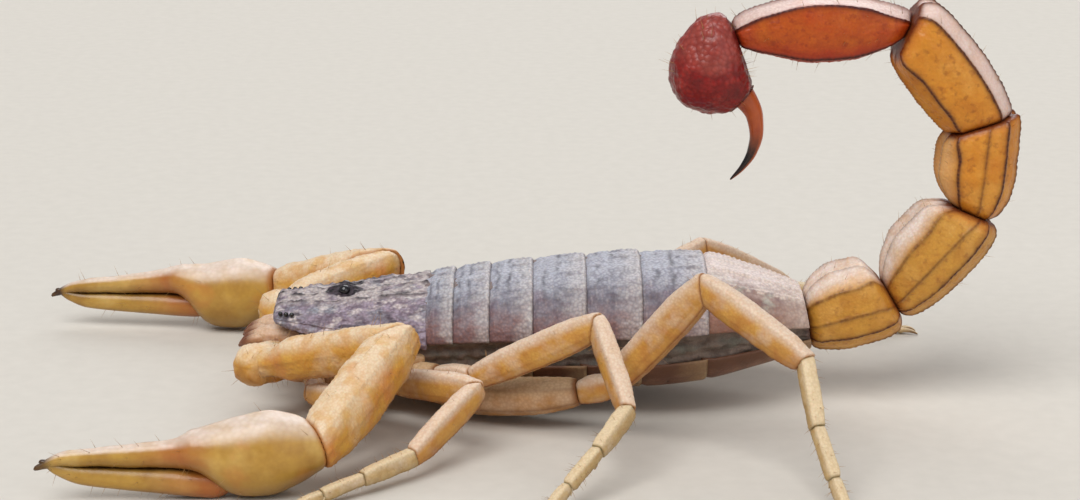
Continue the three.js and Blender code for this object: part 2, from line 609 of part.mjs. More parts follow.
/** One leg as three nodes: up to the knee, the patella, and the shin with its foot. */
function leg(pose) {
	const { side, number, bow } = pose;
	const share = LEG_SCALE[number - 1];
	const hip = COXAE[number - 1];
	const [start, seat, knee, ankle, toe] = [hip.to, pose.seat, pose.knee, pose.ankle, pose.toe]
		.map((point) => onSide(side, point));
	const length = (name, from, to, sides = 8) => (
		limb(from, to, scaled(LEG_SIZES[name], share), LEG_FORMS[name], oval(sides)));
	const way = (from, to) => to.clone().sub(from);
	const sag = onSide(side, bow);
	const shinEnd = ankle.clone().lerp(toe, 0.45).add(sag);
	const tarsusStart = ankle.clone().lerp(toe, 0.78).addScaledVector(sag, 0.6);

	const hipPlane = hipJoint(hip, side, seat);
	const kneePlane = jointAt(knee, way(seat, knee), way(knee, ankle));
	const anklePlane = jointAt(ankle, way(knee, ankle), way(ankle, shinEnd));
	const others = COXAE.filter((other) => other !== hip).map((other) => coxa(other, side, GAP));
	const thigh = before(past(join(length('trochanter', start, seat), length('femur', seat, knee)), hipPlane),
		kneePlane).subtract(join(...others));
	const patella = before(past(length('patella', knee, ankle), kneePlane), anklePlane);
	const foot = [
		length('tibia', ankle, shinEnd),
		length('basitarsus', shinEnd, tarsusStart, 6),
		length('tarsus', tarsusStart, toe, 6),
		...claws(tarsusStart, toe, share),
	];
	if (number > 2) foot.push(spur(ankle, shinEnd, share));
	const name = `leg_${number}_${sideName(side)}`;
	const seatOf = (from, to) => frameAt(from, way(from, to));
	return [
		nodeOf(`${name}_femur`, thigh, seatOf(start, seat), FINISHES.leg),
		nodeOf(`${name}_patella`, patella, seatOf(knee, ankle), FINISHES.leg),
		nodeOf(`${name}_foot`, aboveFloor(past(join(...foot), anklePlane)), seatOf(ankle, toe), FINISHES.foot),
	];
}

/** The pair of claws at the end of a foot, spread and bent down to the floor. */
function claws(from, toe, share) {
	const way = toe.clone().sub(from).setZ(0).normalize();
	const across = new THREE.Vector3().crossVectors(UP, way);
	return [-1, 1].map((which) => {
		const reach = (ahead, out, rise) => toe.clone().addScaledVector(way, ahead * CLAW * share)
			.addScaledVector(across, which * out * share).setZ(toe.z + rise);
		const curve = new THREE.QuadraticBezierCurve3(reach(-0.2, 0.08, 0), reach(0.55, 0.4, 0.12),
			reach(1, 0.34, -0.22));
		return horn(curve, [0.16, 0.13, 0.06].map((radius) => radius * share), 4);
	});
}

/** The spur under the end of the shin. */
function spur(from, to, share) {
	const way = to.clone().sub(from).normalize();
	const down = way.clone().cross(UP).cross(way).multiplyScalar(-1).normalize();
	const root = to.clone().addScaledVector(way, -0.15);
	const end = root.clone().addScaledVector(way, SPUR * share).addScaledVector(down, SPUR * share);
	return horn(new THREE.LineCurve3(root, end), [0.26, 0.2, 0.06].map((radius) => radius * share), 5);
}

// ---------------------------------------------------------------- pincers

const ARM_SIZES = {
	trochanter: { width: 2.2, height: 2.4 },
	femur: { width: 2.2, height: 2.6 },
	patella: { width: 2.9, height: 3.3 },
};
const ARM_FORMS = {
	trochanter: [[0, 0.8, 0.8], [0.5, 1.04, 1], [1, 1.04, 1]],
	femur: [[0, 0.74, 0.7], [0.14, 0.78, 0.74], [0.3, 0.98, 0.95], [0.75, 1, 1.02], [1, 0.9, 0.9]],
	patella: [[0, 0.74, 0.76], [0.2, 0.96, 0.95], [0.55, 1.02, 1.02], [0.85, 0.95, 0.95], [1, 0.78, 0.78]],
};
/** Half the outline of an arm length, with its keels on the back and the underside. */
const ARM_HALF = [
	[0, 0.93], [0.38, 0.96], [0.62, 0.86], [0.9, 0.5], [1, 0.08], [0.93, -0.42], [0.66, -0.82],
	[0.36, -0.92], [0, -0.93],
];
/** The palm: place from the wrist, half width, half height, and lift of its middle. */
const PALM = [
	{ at: -0.9, width: 0.7, height: 0.75, lift: 0 },
	{ at: 0, width: 1.2, height: 1.35, lift: 0 },
	{ at: 1.2, width: 1.65, height: 1.95, lift: -0.05 },
	{ at: 2.6, width: 1.85, height: 2.36, lift: -0.16 },
	{ at: 4.2, width: 1.8, height: 2.24, lift: -0.28 },
	{ at: 5.8, width: 1.5, height: 1.75, lift: -0.2 },
	{ at: 7.2, width: 1.05, height: 1.25, lift: -0.1 },
	{ at: 8.1, width: 0.5, height: 0.6, lift: 0.1 },
];
const KNUCKLE = 5.6;
const FIXED_ROOT = 4.6;

/** The fixed and the moving finger: half width and half height along each, in shares of its length. */
const FIXED_FORM = [
	[0, 0.85, 0.94], [0.15, 0.8, 0.92], [0.35, 0.64, 0.72], [0.55, 0.52, 0.58], [0.75, 0.42, 0.46],
	[0.9, 0.28, 0.32], [1, 0.1, 0.1],
];
const MOVING_FORM = [
	[0, 0.55, 0.52], [0.1, 0.75, 0.72], [0.3, 0.66, 0.7], [0.55, 0.54, 0.62], [0.78, 0.42, 0.5],
	[0.92, 0.28, 0.3], [1, 0.1, 0.1],
];
const FINGER_HOOK = { size: 0.3, share: 0.15 };

/**
 * A finger above (1) or below (-1) the line where the jaws part, in the hand's frame, from its root to
 * its end. The line rises from the parting at the knuckle to the tip of the hand.
 */
function finger(frame, which, form, root, end, parting, extra = 0) {
	const stations = form.map(([at, width, height], i) => {
		const x = THREE.MathUtils.lerp(root, end, at);
		const line = THREE.MathUtils.lerp(parting, 0, THREE.MathUtils.clamp((x - KNUCKLE) / (end - KNUCKLE), 0, 1));
		const hook = FINGER_HOOK.size * Math.max(0, 1 - (1 - at) / FINGER_HOOK.share);
		const lift = line + which * (GAP / 2 + height - hook);
		const spare = i === 0 ? -extra : i === form.length - 1 ? extra : 0;
		return {
			frame: frame.clone().multiply(new THREE.Matrix4().makeTranslation(x + spare, 0, lift)),
			width: width + extra,
			height: height + extra,
		};
	});
	return loft(stations, oval(10, 0.9));
}

/** One pincer arm: trochanter, femur, patella, hand with its fixed finger, and moving finger. */
function arm(pose) {
	const { side, parting } = pose;
	const [hip, seat, elbow, wrist, tip] = [ARM_COXA.to, pose.seat, pose.elbow, pose.wrist, pose.tip]
		.map((point) => onSide(side, point));
	const way = (from, to) => to.clone().sub(from);
	const section = mirrored(ARM_HALF);
	const length = (name, from, to) => limb(from, to, ARM_SIZES[name], ARM_FORMS[name], section, 0.8);

	const hipPlane = hipJoint(ARM_COXA, side, seat);
	const seatPlane = jointAt(seat, way(hip, seat), way(seat, elbow));
	const elbowPlane = jointAt(elbow, way(seat, elbow), way(elbow, wrist));
	const wristPlane = jointAt(wrist, way(elbow, wrist), way(wrist, tip));
	const trochanter = before(past(length('trochanter', hip, seat), hipPlane), seatPlane);
	const femur = before(past(length('femur', seat, elbow), seatPlane), elbowPlane);
	const patella = before(past(length('patella', elbow, wrist), elbowPlane), wristPlane);

	const frame = frameAt(wrist, way(wrist, tip));
	const reach = way(wrist, tip).length();
	const palm = loft(PALM.map(({ at, width, height, lift }) => ({
		frame: frame.clone().multiply(new THREE.Matrix4().makeTranslation(at, 0, lift)),
		width,
		height,
	})), oval(12));
	const jaw = (extra) => finger(frame, -1, MOVING_FORM, KNUCKLE, reach - 0.3, parting, extra);
	const fixed = finger(frame, 1, FIXED_FORM, FIXED_ROOT, reach, parting);
	const hand = aboveFloor(past(join(palm, fixed).subtract(jaw(GAP)), wristPlane));
	const name = `pedipalp_${sideName(side)}`;
	const seatOf = (from, to) => frameAt(from, way(from, to));
	return [
		nodeOf(`${name}_trochanter`, trochanter, seatOf(hip, seat), FINISHES.arm),
		nodeOf(`${name}_femur`, femur, seatOf(seat, elbow), FINISHES.arm),
		nodeOf(`${name}_patella`, patella, seatOf(elbow, wrist), FINISHES.arm),
		nodeOf(`${name}_hand`, hand, frame, FINISHES.hand),
		nodeOf(`${name}_finger`, aboveFloor(jaw(0)), frame, FINISHES.hand),
	];
}

// ---------------------------------------------------------------- assembly

function group(...members) {
	const made = new THREE.Group();
	made.add(...members.flat());
	return made;
}

const face = [LEFT, RIGHT].flatMap((side) => [medianEye(side), chelicera(side)]);
const head = group(headShield(), breast(), face);
const trunk = group(SCUTE_EDGES.slice(1).map((_, i) => trunkRing(i + 1)), [LEFT, RIGHT].map(comb));
const tail = group(tailRings(), sting());
const arms = group(...ARM_POSES.map((pose) => group(arm(pose))));
const legs = group(...LEG_POSES.map((pose) => group(leg(pose))));

const scorpion = group(head, trunk, tail, arms, legs);
const box = new THREE.Box3().setFromObject(scorpion, true);
const middle = box.getCenter(new THREE.Vector3());
scorpion.position.set(-middle.x, -middle.y, 0);

export default scorpion;
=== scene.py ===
"""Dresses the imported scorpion: its shells, soft skins, eyes and bristles, a floor, lights and a camera.

Sizes are millimetres in the animal's own frame, as its solids are made: the head points along -X, the left
side along -Y and the floor is z = 0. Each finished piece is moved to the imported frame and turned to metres.
"""

import sys

import logging
import math
import random
from bisect import bisect_right
from collections.abc import Callable, Sequence
from dataclasses import dataclass, field, replace
from enum import Enum
from functools import cache

import bmesh
import bpy
from mathutils import Matrix, Vector, noise

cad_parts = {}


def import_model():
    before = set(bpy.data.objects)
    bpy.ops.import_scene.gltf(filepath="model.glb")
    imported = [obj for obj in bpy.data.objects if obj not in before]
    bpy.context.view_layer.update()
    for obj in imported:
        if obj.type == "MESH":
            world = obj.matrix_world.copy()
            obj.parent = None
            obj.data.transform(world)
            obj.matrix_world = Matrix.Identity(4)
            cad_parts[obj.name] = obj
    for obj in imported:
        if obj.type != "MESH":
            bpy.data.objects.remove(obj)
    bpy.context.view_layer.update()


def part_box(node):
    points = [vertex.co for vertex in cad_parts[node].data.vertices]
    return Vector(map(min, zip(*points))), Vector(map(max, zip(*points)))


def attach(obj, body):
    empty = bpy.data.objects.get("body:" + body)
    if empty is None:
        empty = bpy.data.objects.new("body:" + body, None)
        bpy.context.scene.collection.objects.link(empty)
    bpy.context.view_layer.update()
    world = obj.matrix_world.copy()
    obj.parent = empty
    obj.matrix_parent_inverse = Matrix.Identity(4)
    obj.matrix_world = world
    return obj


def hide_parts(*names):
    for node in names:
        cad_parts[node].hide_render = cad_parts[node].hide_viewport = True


LOG = logging.getLogger("scorpion")
MM = 0.001
GAP = 0.3
CHITIN_IOR = 1.56
GLOW_COLOUR = (1.0, 0.5, 0.25)
GLOW_MM = 0.4
FINE_MM = 0.05
FINE_DEPTH_MM = 0.006
WELD = 1e-4
UP = Vector((0, 0, 1))
ACROSS = Vector((0, 1, 0))
BAKE_MAP = "OFBake"


class Side(Enum):
    """A side of the body, as the sign of Y."""

    LEFT = -1
    RIGHT = 1

    def point(self, place: Sequence[float]) -> Vector:
        """A place given for the right side, on this one."""
        return Vector((place[0], self.value * place[1], place[2]))

    @property
    def label(self) -> str:
        """The side's name, as the pieces have it."""
        return self.name.lower()


class Mask(Enum):
    """What is painted on a shell, each as an attribute from 0 to 1."""

    # The colour of keels and other dark marks, which on the limbs also carries painted shade on their
    # undersides.
    KEEL = "keel"
    RIM = "rim"
    # The upper colour: a painted highlight on the upper faces of most bodies, and on the undersides of the
    # last tail rings, which face up.
    TOP = "top"
    TIP = "tip"


Masks = tuple[float, float, float, float]
Place = Callable[[float, float], tuple[Vector, Masks]]
Row = Sequence[float]


def ease(low: float, high: float, value: float) -> float:
    """A smooth step from 0 at `low` to 1 at `high`."""
    share = min(max((value - low) / (high - low), 0.0), 1.0)
    return share * share * (3 - 2 * share)


def bell(distance: float, width: float) -> float:
    """A bell curve, 1 at no distance."""
    return math.exp(-((distance / width) ** 2))


class Curve:
    """A smooth curve through rows of values at rising keys, which never swings past them."""

    def __init__(self, keys: Sequence[float], rows: Sequence[Row]) -> None:
        """Takes the rows and works out the slopes between them.

        Args:
            keys: Rising places, one for each row.
            rows: The values at those places, all of one length.
        """
        self.keys = list(keys)
        self.rows = [tuple(row) for row in rows]
        steps = [
            [(after - before) / (end - start) for before, after in zip(row, following)]
            for start, end, row, following in zip(self.keys, self.keys[1:], self.rows, self.rows[1:])
        ]
        middle = [
            [2 * a * b / (a + b) if a * b > 0 else 0.0 for a, b in zip(first, second)]
            for first, second in zip(steps, steps[1:])
        ]
        self.slopes = [steps[0], *middle, steps[-1]]

    def __call__(self, at: float) -> list[float]:
        """The values at a place, held at the ends.

        Args:
            at: The place along the keys.

        Returns:
            One value for each column of the rows.
        """
        at = min(max(at, self.keys[0]), self.keys[-1])
        i = min(bisect_right(self.keys, at) - 1, len(self.keys) - 2)
        span = self.keys[i + 1] - self.keys[i]
        t = (at - self.keys[i]) / span
        near, far = (1 + 2 * t) * (1 - t) ** 2, t * t * (3 - 2 * t)
        leave, reach = t * (1 - t) ** 2 * span, t * t * (t - 1) * span
        return [
            near * a + far * b + leave * sa + reach * sb
            for a, b, sa, sb in zip(self.rows[i], self.rows[i + 1], self.slopes[i], self.slopes[i + 1])
        ]


@dataclass(frozen=True)
class Edge:
    """A place on an outline: its share from top to bottom, its side, place and outward way."""

    down: float
    side: int
    y: float
    z: float
    out_y: float
    out_z: float


class Outline:
    """The closed outline of a body cut across, alike on both sides, in shares of its half sizes."""

    def __init__(self, half: Sequence[Row], keels: dict[int, Row] | None = None) -> None:
        """Takes half the outline and its keels.

        Args:
            half: Its corners from the top down one side, as (across, height).
            keels: For the corners that carry a keel, its height and half width in mm and its darkness.
        """
        lengths = [0.0]
        for before, after in zip(half, half[1:]):
            lengths.append(lengths[-1] + math.dist(before, after))
        self.girth = lengths[-1]
        shares = [length / self.girth for length in lengths]
        self.curve = Curve(shares, half)
        self.keels = [(shares[i], *keel) for i, keel in (keels or {}).items()]

    def at(self, around: float) -> Edge:
        """The place at a share of the way round, from the top down the +Y side and up the other."""
        return self.beside(1 - abs(1 - 2 * around), 1 if around <= 0.5 else -1)

    def beside(self, down: float, side: int) -> Edge:
        """The place on one side, at a share of the way from its first corner to its last.

        Args:
            down: The share, from 0 to 1.
            side: 1 for the +Y side and -1 for the other.

        Returns:
            The place on the outline.
        """
        y, z = self.curve(down)
        nudge = 0.006
        y0, z0 = self.curve(max(down - nudge, 0))
        y1, z1 = self.curve(min(down + nudge, 1))
        length = math.hypot(y1 - y0, z1 - z0) or 1.0
        return Edge(down, side, side * y, z, side * (z0 - z1) / length, (y1 - y0) / length)


HALF_TURN = [math.pi * i / 36 for i in range(37)]
ROUND = Outline([(math.sin(turn), math.cos(turn)) for turn in HALF_TURN])


def oval(*corners: Row, keels: dict[int, Row] | None = None) -> Outline:
    """An outline alike above and below its middle.

    Args:
        *corners: Its corners between the top and the side.
        keels: Its keels, by number of the corner.

    Returns:
        The outline.
    """
    upper = [(0, 1), *corners]
    return Outline([*upper, (1, 0), *((across, -height) for across, height in reversed(upper))], keels)


@dataclass(frozen=True)
class Joint:
    """A plane that a body ends at: a point on it, and its normal into the body."""

    point: Vector
    inward: Vector

    @classmethod
    def between(cls, point: Vector, before: Vector, after: Vector) -> "Joint":
        """The plane square to the middle of the ways that meet in a point, facing onward."""
        return cls(point, (before.normalized() + after.normalized()).normalized())

    def reversed(self) -> "Joint":
        """The same plane, facing back."""
        return Joint(self.point, -self.inward)


def bends(points: Sequence[Vector]) -> list[Joint]:
    """The joints at the inner ones of a row of points, each facing onward."""
    return [Joint.between(b, b - a, c - b) for a, b, c in zip(points, points[1:], points[2:])]


def upright(cuts: Sequence[Row], before: float, after: float) -> list[tuple[Vector, float, float]]:
    """The rows of a body that lies along X and closes at both ends.

    Args:
        cuts: Its cuts, as (place along X, half width, height of the top, height of the underside).
        before: How far in front of its first cut it closes, in mm.
        after: How far behind its last cut it closes, in mm.

    Returns:
        Its cuts as (middle, half width, half height).
    """
    first, last = cuts[0], cuts[-1]
    stations = [(first[0] - before, 0.0, *first[2:]), *cuts, (last[0] + after, 0.0, *last[2:])]
    return [(Vector((x, 0, (top + low) / 2)), half, (top - low) / 2 if half else 0.0)
            for x, half, top, low in stations]


def never(share: float) -> float:
    """Nothing of a mask, anywhere along a body."""
    return 0.0


def always(share: float) -> float:
    """All of it, anywhere along a body."""
    return 1.0


def level(share: float, height: float) -> float:
    """No shift of the outline's corners, anywhere along a body."""
    return 0.0


def above(height: float, soft: float = 0.15) -> Callable[[Edge], float]:
    """What lies above a height on an outline, in shares of its half height."""
    return lambda edge: ease(height - soft, height + soft, edge.z)


def below(depth: float, most: float) -> Callable[[Edge], float]:
    """What lies below a depth on an outline, in shares of its half height, rising to `most` at its foot."""
    return lambda edge: most * ease(depth, 1.01, -edge.z)


@dataclass(frozen=True)
class Surface:
    """What stands on a body in mm, how its joints are rounded, and how it is painted.

    The spacing of a keel's grains, the height and spacing of fine grains and of broad lumps, how far the
    keels are worn off in patches and the upper colour's painted highlight is broken up with them, and the
    rounding, depth and painted width of a joint's rim. Then how far the keels stand and the end and dark
    colours go, by share of the length, and how far the upper colour (a painted highlight), the under colour
    (painted shade, in the keel's colour) and again the end colour go, by place on the outline. Last, how far
    the outline's corners shift up, by share of the length and their height.
    """

    bead: float = 0.34
    grain: float = 0.0
    grain_size: float = 0.3
    lump: float = 0.0
    lump_size: float = 0.9
    wear_and_highlight_breakup: float = 0.0
    rim_round: float = 0.3
    rim_depth: float = 0.16
    rim_width: float = 0.2
    keels: Callable[[float], float] = always
    tip: Callable[[float], float] = never
    dark: Callable[[float], float] = never
    # The upper colour is a painted highlight, and the under mask paints shade in the keel's colour.
    top: Callable[[Edge], float] = above(0.55, 0.4)
    under: Callable[[Edge], float] = below(1.0, 0.0)
    flush: Callable[[Edge], float] = below(1.0, 0.0)
    shift: Callable[[float, float], float] = level


@dataclass
class Cut:
    """A cut across a body: its middle, its frame, half its sizes, and how far along it lies."""

    middle: Vector
    ahead: Vector
    side: Vector
    top: Vector
    width: float
    height: float
    along: float


def grains(point: Vector, size: float) -> float:
    """How high a grain stands at a point, from 0 between grains to 1 on one.

    Args:
        point: The place in mm.
        size: The spacing of the grains in mm.

    Returns:
        The height as a share.
    """
    near = noise.voronoi(point / size)[0][0]
    return max(0.0, 1.0 - (near / 0.5) ** 2)


class Body:
    """A closed body through a row of cuts, with keels, grains and joints.

    Its cuts lie at least `least_step` mm apart, its heading is taken over `look` of its length each way, and
    what stands on it fades out where its half size falls under `fade` mm.
    """

    least_step = 0.02
    look = 0.02
    fade = 0.4

    def __init__(self, rows: Sequence[tuple[Vector, float, float]], outline: Outline = ROUND, up: Vector = UP,
                 joints: Sequence[Joint] = (), surface: Surface = Surface()) -> None:
        """Takes what the body is made from.

        Args:
            rows: Its cuts in order, as (middle, half width, half height). The first and last have no size.
            outline: The outline of each cut.
            up: The way that the outline's top faces.
            joints: The planes that it ends at.
            surface: What stands on it and how it is painted.
        """
        keys = [0.0]
        for before, after in zip(rows, rows[1:]):
            keys.append(keys[-1] + max((after[0] - before[0]).length, self.least_step))
        self.length = keys[-1]
        self.curve = Curve(keys, [(*middle, width, height) for middle, width, height in rows])
        self.size = max(max(width, height) for _, width, height in rows)
        self.outline, self.up, self.joints, self.surface = outline, up, joints, surface
        self.heading: Callable[[Vector], Vector] | None = None
        self.warp: Callable[[Vector], Vector] | None = None

    def cut(self, share: float) -> Cut:
        """The cut at a share of the length.

        Args:
            share: The share, from 0 to 1.

        Returns:
            The cut.
        """
        along = share * self.length
        x, y, z, width, height = self.curve(along)
        if self.heading:
            ahead = self.heading(Vector((x, y, z))).normalized()
        else:
            nudge = self.look * self.length
            after, before = (Vector(self.curve(along + step)[:3]) for step in (nudge, -nudge))
            ahead = (after - before).normalized()
        side = self.up.cross(ahead).normalized()
        return Cut(Vector((x, y, z)), ahead, side, ahead.cross(side), width, height, along)

    def keels(self, cut: Cut, edge: Edge, near_end: float) -> tuple[float, float]:
        """How the keels are at a place.

        Args:
            cut: The cut that it lies on.
            edge: Its place on the outline.
            near_end: How much is left of what stands there, as a share.

        Returns:
            How high they stand in mm, and how dark they are.
        """
        lift, dark = 0.0, 0.0
        scale = self.outline.girth * (cut.width + cut.height) / 2
        for number, (at, height, width, darkness) in enumerate(self.outline.keels):
            away = abs(edge.down - at) * scale
            if away > 5 * width:
                continue
            phase = 2.4 * number + (edge.side if 0 < at < 1 else 0)
            bead = 0.5 + 0.5 * math.cos(2 * math.pi * cut.along / self.surface.bead + phase)
            lift += height * bell(away, width) * (0.7 + 0.3 * bead) * near_end
            line = bell(away, 0.9 * width) * (0.8 + 0.2 * bead)
            dark = max(dark, darkness * (line + 0.35 * bell(away, 2.4 * width)))
        return lift, dark

    def place(self) -> Place:
        """The function from shares along and round the body to a place and its masks."""
        cut_at, edge_at = cache(self.cut), cache(self.outline.at)
        surface = self.surface

        def point(share: float, around: float) -> tuple[Vector, Masks]:
            """A place on the body and its masks.

            Args:
                share: How far along the body, as a share of its length.
                around: How far round it, as a share of the whole way round.

            Returns:
                The place, and the masks in the order of `Mask`.
            """
            cut, edge = cut_at(share), edge_at(around)
            near_end = min(1.0, min(cut.width, cut.height) / self.fade) * surface.keels(share)
            lift, dark = self.keels(cut, edge, near_end)
            dark *= surface.keels(share)
            out = cut.side * edge.out_y + cut.top * edge.out_z
            height = (edge.z + surface.shift(share, edge.z)) * cut.height
            spoke = cut.side * (edge.y * cut.width) + cut.top * height
            place = cut.middle + spoke
            if surface.grain:
                lift += surface.grain * near_end * grains(place, surface.grain_size)
            if surface.lump:
                lift += surface.lump * near_end * noise.noise(place / surface.lump_size)
            # The upper colour is a painted highlight, broken into patches along with the keels' wear.
            top = surface.top(edge)
            if surface.wear_and_highlight_breakup:
                dark *= 1 - surface.wear_and_highlight_breakup * ease(-0.2, 0.3, noise.noise(place / 0.6))
                top *= 1 - surface.wear_and_highlight_breakup * ease(-0.1, 0.4, noise.noise(place / 0.8 + UP * 9))
            place += out * lift
            if self.warp:
                place = self.warp(place)
            rim = 0.0
            for joint in self.joints:
                inside = (place - joint.point).dot(joint.inward)
                if inside < surface.rim_round:
                    bow = 1 - max(inside, 0.0) / surface.rim_round
                    shrink = surface.rim_depth * (1 - math.sqrt(1 - bow * bow))
                    place -= spoke.normalized() * min(shrink, 0.5 * spoke.length)
                    inside = (place - joint.point).dot(joint.inward)
                if inside < 0:
                    slide = cut.ahead if abs(cut.ahead.dot(joint.inward)) > 0.5 else joint.inward
                    place -= slide * (inside / slide.dot(joint.inward))
                rim = max(rim, bell(max(inside, 0.0), surface.rim_width))
            # The under mask adds painted shade on the underside, in the keel's colour.
            dark = max(dark, surface.dark(share), surface.under(edge))
            return place, (dark, rim, top, max(surface.tip(share), surface.flush(edge)))

        return point

    def wrap(self, mesh: bmesh.types.BMesh, step: float) -> None:
        """Adds the body to a mesh, with faces of about `step` mm."""
        sides = max(8, round(self.outline.girth * 2 * self.size / step))
        wrap(mesh, self.place(), max(6, round(self.length / step)), sides)


def blank() -> bmesh.types.BMesh:
    """An empty mesh with a layer for each mask."""
    mesh = bmesh.new()
    for mask in Mask:
        mesh.verts.layers.float.new(mask.value)
    return mesh


def wrap(mesh: bmesh.types.BMesh, place: Place, rings: int, sides: int) -> None:
    """Adds a closed skin: a grid whose long sides meet in a seam and whose ends close.

    Args:
        mesh: The mesh that it joins.
        place: Where each place of the grid goes.
        rings: How many faces there are along it.
        sides: How many faces there are round it.
    """
    made = bmesh.ops.create_grid(mesh, x_segments=rings, y_segments=sides, size=0.5)["verts"]
    layers = [mesh.verts.layers.float[mask.value] for mask in Mask]
    for vert in made:
        vert.co, masks = place(round(vert.co.x + 0.5, 6), round(vert.co.y + 0.5, 6))
        for layer, value in zip(layers, masks):
            vert[layer] = value
    bmesh.ops.remove_doubles(mesh, verts=made, dist=WELD)


def linear(text: str) -> tuple[float, float, float, float]:
    """An sRGB hex colour as linear red, green, blue and alpha."""
    shares = [int(text[i:i + 2], 16) / 255 for i in (1, 3, 5)]
    return (*(c / 12.92 if c <= 0.04045 else ((c + 0.055) / 1.055) ** 2.4 for c in shares), 1.0)


def node(tree: bpy.types.NodeTree, kind: str, inputs: dict | None = None,
         **settings: object) -> bpy.types.Node:
    """Adds a node.

    Args:
        tree: The tree that it joins.
        kind: Its type, without the leading ShaderNode.
        inputs: Its sockets by name or number, each with a value or with the socket that feeds it.
        **settings: Its other settings.

    Returns:
        The new node.
    """
    made = tree.nodes.new("ShaderNode" + kind)
    for name, value in settings.items():
        setattr(made, name, value)
    for name, value in (inputs or {}).items():
        if isinstance(value, bpy.types.NodeSocket):
            tree.links.new(value, made.inputs[name])
        else:
            made.inputs[name].default_value = value
    return made


def mix(tree: bpy.types.NodeTree, factor: bpy.types.NodeSocket, under: object,
        over: object) -> bpy.types.NodeSocket:
    """Two colours mixed by a factor."""
    return node(tree, "Mix", {0: factor, 6: under, 7: over}, data_type="RGBA").outputs[2]


@dataclass(frozen=True)
class Blotch:
    """Blotches of another colour.

    Their size in mm, one for all ways or one along each axis, how strong they are, and where their noise
    starts and ends them.
    """

    colour: str
    size_mm: float | Row
    share: float = 0.6
    low: float = 0.5
    high: float = 0.68

    @property
    def scale(self) -> Row:
        """The scale of their noise along each axis."""
        sizes = self.size_mm if isinstance(self.size_mm, tuple) else (self.size_mm,) * 3
        return tuple(1 / (size * MM) for size in sizes)


@dataclass(frozen=True)
class Chitin:
    """Chitin, a horn-like shell that the animal grows and tans: darker and harder where it is thick.

    It gives a soft gloss over colour that lies a little below the surface, grains that catch the light, and
    brown keels and rims. The sizes of its patterns are real ones. On most shells its upper colour is a
    painted highlight, and on the limbs its keel colour also serves as painted shade underneath.
    """

    name: str
    base: str
    mottle: str
    top: str
    keel: str
    rim: str
    tip: str
    roughness: float = 0.42
    mottle_mm: float = 1.4
    mottle_share: float = 0.6
    grain_mm: float = 0.16
    grain_depth_mm: float = 0.02
    grain_shade: float = 0.25
    through: float = 0.12
    coat: float = 0.1
    shine: float = 0.3
    blotches: tuple[Blotch, ...] = ()

    def build(self) -> bpy.types.Material:
        """The finish as a material of nodes."""
        material = bpy.data.materials.new(self.name)
        material.use_nodes = True
        tree = material.node_tree
        tree.nodes.clear()
        place = node(tree, "TexCoord").outputs["Object"]
        patches = node(tree, "TexNoise", {"Vector": place, "Scale": 1 / (self.mottle_mm * MM), "Detail": 4.0,
                                          "Roughness": 0.6})
        grain = node(tree, "TexVoronoi", {"Vector": place, "Scale": 1 / (self.grain_mm * MM)})
        colour = self.colour(tree, place, patches.outputs["Fac"], grain.outputs["Distance"])
        fine = node(tree, "TexNoise", {"Vector": place, "Scale": 1 / (FINE_MM * MM), "Detail": 2.0})
        rough = node(tree, "MapRange", {"Value": fine.outputs["Fac"], "To Min": self.roughness - 0.08,
                                        "To Max": self.roughness + 0.1}).outputs["Result"]
        pits = node(tree, "Bump", {"Height": grain.outputs["Distance"], "Distance": self.grain_depth_mm * MM,
                                   "Strength": 0.7}, invert=True).outputs["Normal"]
        skin = node(tree, "Bump", {"Height": fine.outputs["Fac"], "Distance": FINE_DEPTH_MM * MM,
                                   "Strength": 0.5, "Normal": pits}).outputs["Normal"]
        shader = node(tree, "BsdfPrincipled", {
            "Base Color": colour, "Roughness": rough, "IOR": CHITIN_IOR, "Specular IOR Level": self.shine,
            "Normal": skin, "Subsurface Weight": self.through, "Subsurface Radius": GLOW_COLOUR,
            "Subsurface Scale": GLOW_MM * MM, "Coat Weight": self.coat, "Coat Roughness": 0.25,
        })
        node(tree, "OutputMaterial", {"Surface": shader.outputs["BSDF"]})
        return material

    def colour(self, tree: bpy.types.NodeTree, place: bpy.types.NodeSocket,
               patches: bpy.types.NodeSocket, grain: bpy.types.NodeSocket) -> bpy.types.NodeSocket:
        """The shell's colour: patches and blotches, then each mask, then painted shade between the grains.

        Args:
            tree: The material's tree.
            place: The place on the animal.
            patches: The noise of its patches.
            grain: The distance from the middle of each grain.

        Returns:
            The colour's socket.
        """
        share = node(tree, "MapRange", {"Value": patches, "From Min": 0.42, "From Max": 0.68,
                                        "To Max": self.mottle_share}).outputs["Result"]
        colour = mix(tree, share, linear(self.base), linear(self.mottle))
        for number, blotch in enumerate(self.blotches, 1):
            spot = node(tree, "Mapping", {"Vector": place, "Scale": blotch.scale,
                                          "Location": (5.3 * number, 2.1, 7.7)})
            clouds = node(tree, "TexNoise", {"Vector": spot.outputs[0], "Scale": 1.0, "Detail": 3.0})
            share = node(tree, "MapRange", {"Value": clouds.outputs["Fac"], "From Min": blotch.low,
                                            "From Max": blotch.high, "To Max": blotch.share})
            colour = mix(tree, share.outputs["Result"], colour, linear(blotch.colour))
        paints = {Mask.TIP: self.tip, Mask.TOP: self.top, Mask.KEEL: self.keel, Mask.RIM: self.rim}
        for mask, paint in paints.items():
            painted = node(tree, "Attribute", attribute_name=mask.value).outputs["Fac"]
            broken = node(tree, "Math", {0: patches, 1: 0.5}, operation="ADD").outputs[0]
            factor = node(tree, "Math", {0: painted, 1: broken}, operation="MULTIPLY",
                          use_clamp=True).outputs[0]
            colour = mix(tree, factor, colour, linear(paint))
        # Painted shade: the hollows between the grains take the mottle colour.
        hollow = node(tree, "MapRange", {"Value": grain, "From Min": 0.25, "From Max": 0.75,
                                         "To Max": self.grain_shade}).outputs["Result"]
        return mix(tree, hollow, colour, linear(self.mottle))


